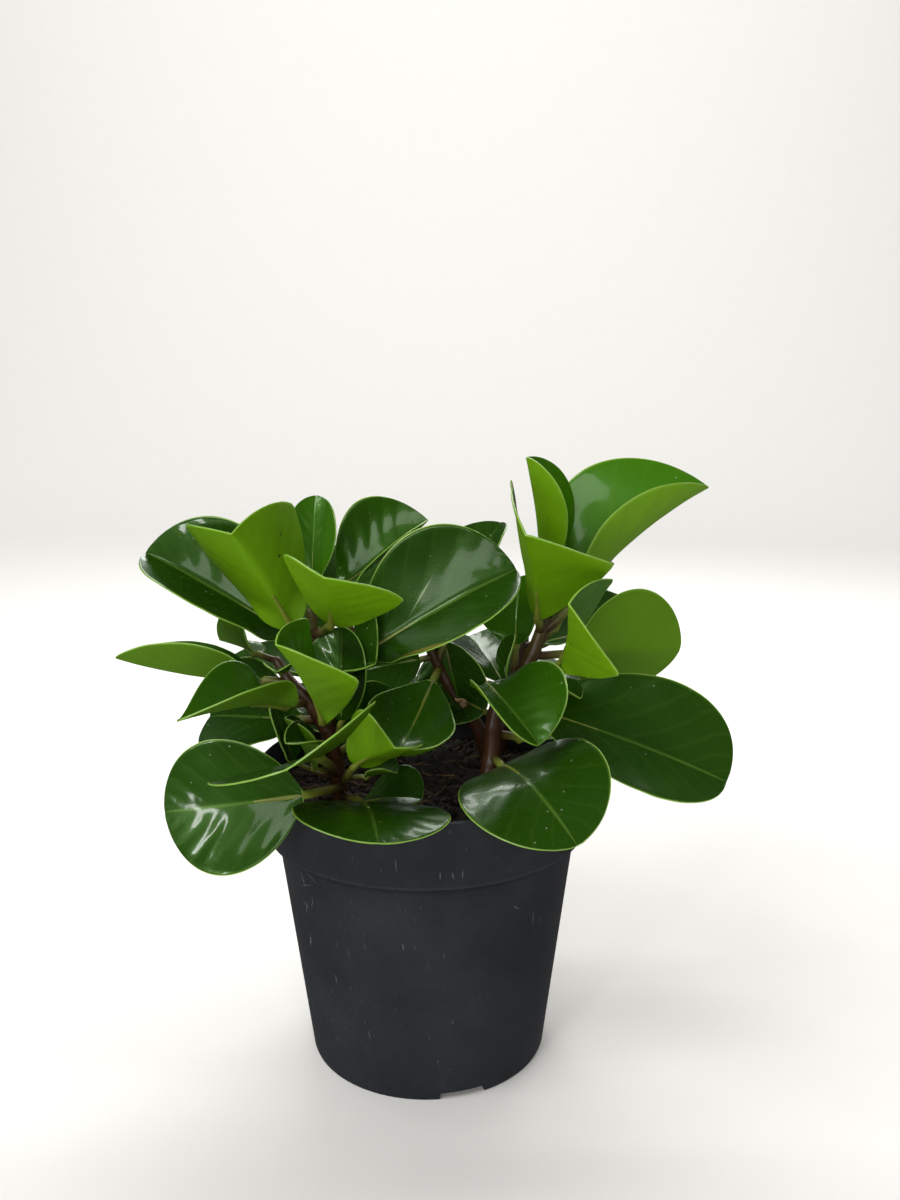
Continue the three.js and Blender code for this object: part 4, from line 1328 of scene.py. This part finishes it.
class PEPEROMIA_OT_stage(bpy.types.Operator):
    """Lays the pale floor and sets the soft studio light and the camera"""
    bl_idname = "peperomia.stage"
    bl_label = "Floor, Light and Camera"

    def select_back_edges(self, floor):
        """Selects the floor's edges that lie at its back, on the ground, in edit mode."""
        bpy.ops.object.mode_set(mode="OBJECT")
        for edge in floor.data.edges:
            ends = [floor.data.vertices[i].co for i in edge.vertices]
            edge.select = all(end.y > FLOOR_BACK and end.z < 0.1 for end in ends)
        bpy.ops.object.mode_set(mode="EDIT")

    def lay_floor(self, context, stage):
        """A floor that bends up into a backdrop."""
        select_only()
        bpy.ops.mesh.primitive_plane_add(size=FLOOR_SIZE)
        floor = context.active_object
        bpy.ops.object.mode_set(mode="EDIT")
        bpy.ops.mesh.select_all(action="DESELECT")
        self.select_back_edges(floor)
        bpy.ops.mesh.select_mode(type="EDGE")
        bpy.ops.mesh.extrude_edges_move(
            TRANSFORM_OT_translate={"value": (0, 0, BACKDROP_HEIGHT)})
        self.select_back_edges(floor)
        bpy.ops.mesh.bevel(offset=BACKDROP_BEND, segments=BACKDROP_STEPS)
        bpy.ops.object.mode_set(mode="OBJECT")
        bpy.ops.object.shade_smooth()
        floor.name = "pale_floor"
        dress(floor, matt_floor(stage))
        floor.visible_glossy = False

    def light_sky(self, context, stage):
        """A pale room: bright where the camera sees it, dimmer as light, and dim in reflections."""
        world = bpy.data.worlds.new("studio")
        world.use_nodes = True
        world.node_tree.nodes.clear()
        rays = add(world, "ShaderNodeLightPath")
        seen = add(world, "ShaderNodeMapRange", {
            "Value": rays.outputs["Is Camera Ray"], "To Min": stage.sky, "To Max": 0.92})
        strength = add(world, "ShaderNodeMath", {
            0: rays.outputs["Is Glossy Ray"], 1: -0.16, 2: seen.outputs["Result"]},
            operation="MULTIPLY_ADD").outputs[0]
        glow = add(world, "ShaderNodeBackground", {"Color": (1, 1, 1), "Strength": strength})
        add(world, "ShaderNodeOutputWorld", {"Surface": glow.outputs[0]})
        context.scene.world = world

    def hang_lights(self, stage):
        """Soft lights round the plant, a thin strip at its left and a wash on the backdrop."""
        area_light("key", (-0.55, -0.55, 0.95), PLANT_HEART, (0.9, 0.2), stage.key)
        area_light("back", (0.15, 0.75, 0.75), PLANT_HEART, (0.9, 0.25), stage.back)
        wash = area_light("wash", (0, 0.9, 2.6), (0, 3, 0.6), (4, 0.5), stage.wash)
        wash.visible_glossy = False
        area_light("front", (0.1, -1.7, 0.7), PLANT_HEART, (1.1, 0.35), stage.front)
        area_light("strip", (-0.5, -0.85, 0.16), (-0.07, -0.05, 0.11), (0.03, 0.45), stage.strip)

    def set_camera(self, context):
        """The camera where the photograph was taken from."""
        camera = bpy.data.cameras.new("camera")
        camera.lens = CAMERA_LENS
        camera.sensor_width = CAMERA_SENSOR
        camera.clip_start = 0.01
        eye = bpy.data.objects.new("camera", camera)
        right, upward, look = camera_axes()
        turn = Matrix((right, upward, -look)).transposed().to_4x4()
        eye.matrix_world = Matrix.Translation(Vector(CAMERA_PLACE) * MM) @ turn
        context.scene.collection.objects.link(eye)
        context.scene.camera = eye

    def execute(self, context):
        stage = context.scene.peperomia_stage
        self.lay_floor(context, stage)
        self.light_sky(context, stage)
        self.hang_lights(stage)
        self.set_camera(context)
        context.scene.view_settings.view_transform = "Standard"
        return {"FINISHED"}


class PEPEROMIA_PT_panel(bpy.types.Panel):
    """Lists the settings and the pieces of the potted peperomia"""
    bl_label = "Potted Peperomia"
    bl_idname = "PEPEROMIA_PT_panel"
    bl_space_type = "VIEW_3D"
    bl_region_type = "UI"
    bl_category = "Peperomia"

    def draw(self, context):
        for operator, key, group in GROUPS:
            box = self.layout.box()
            for name in group.__annotations__:
                box.prop(getattr(context.scene, key), name)
            box.operator(operator.bl_idname)


GROUPS = (
    (PEPEROMIA_OT_pot, "peperomia_pot", PeperomiaPotSettings),
    (PEPEROMIA_OT_soil, "peperomia_soil", PeperomiaSoilSettings),
    (PEPEROMIA_OT_stems, "peperomia_plant", PeperomiaPlantSettings),
    (PEPEROMIA_OT_leaves, "peperomia_plant", PeperomiaPlantSettings),
    (PEPEROMIA_OT_stage, "peperomia_stage", PeperomiaStageSettings),
)
CLASSES = (
    PeperomiaPotSettings, PeperomiaSoilSettings, PeperomiaPlantSettings, PeperomiaStageSettings,
    PEPEROMIA_OT_pot, PEPEROMIA_OT_soil, PEPEROMIA_OT_stems, PEPEROMIA_OT_leaves,
    PEPEROMIA_OT_stage, PEPEROMIA_PT_panel,
)


def register():
    for kind in CLASSES:
        bpy.utils.register_class(kind)
    for _, key, group in GROUPS:
        setattr(bpy.types.Scene, key, PointerProperty(type=group))


def unregister():
    for key in {key for _, key, _ in GROUPS}:
        delattr(bpy.types.Scene, key)
    for kind in reversed(CLASSES):
        bpy.utils.unregister_class(kind)


def main():
    register()
    bpy.ops.peperomia.pot()
    bpy.ops.peperomia.soil()
    bpy.ops.peperomia.stems()
    bpy.ops.peperomia.leaves()
    bpy.ops.peperomia.stage()
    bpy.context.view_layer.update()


if __name__ == "__main__":
    main()
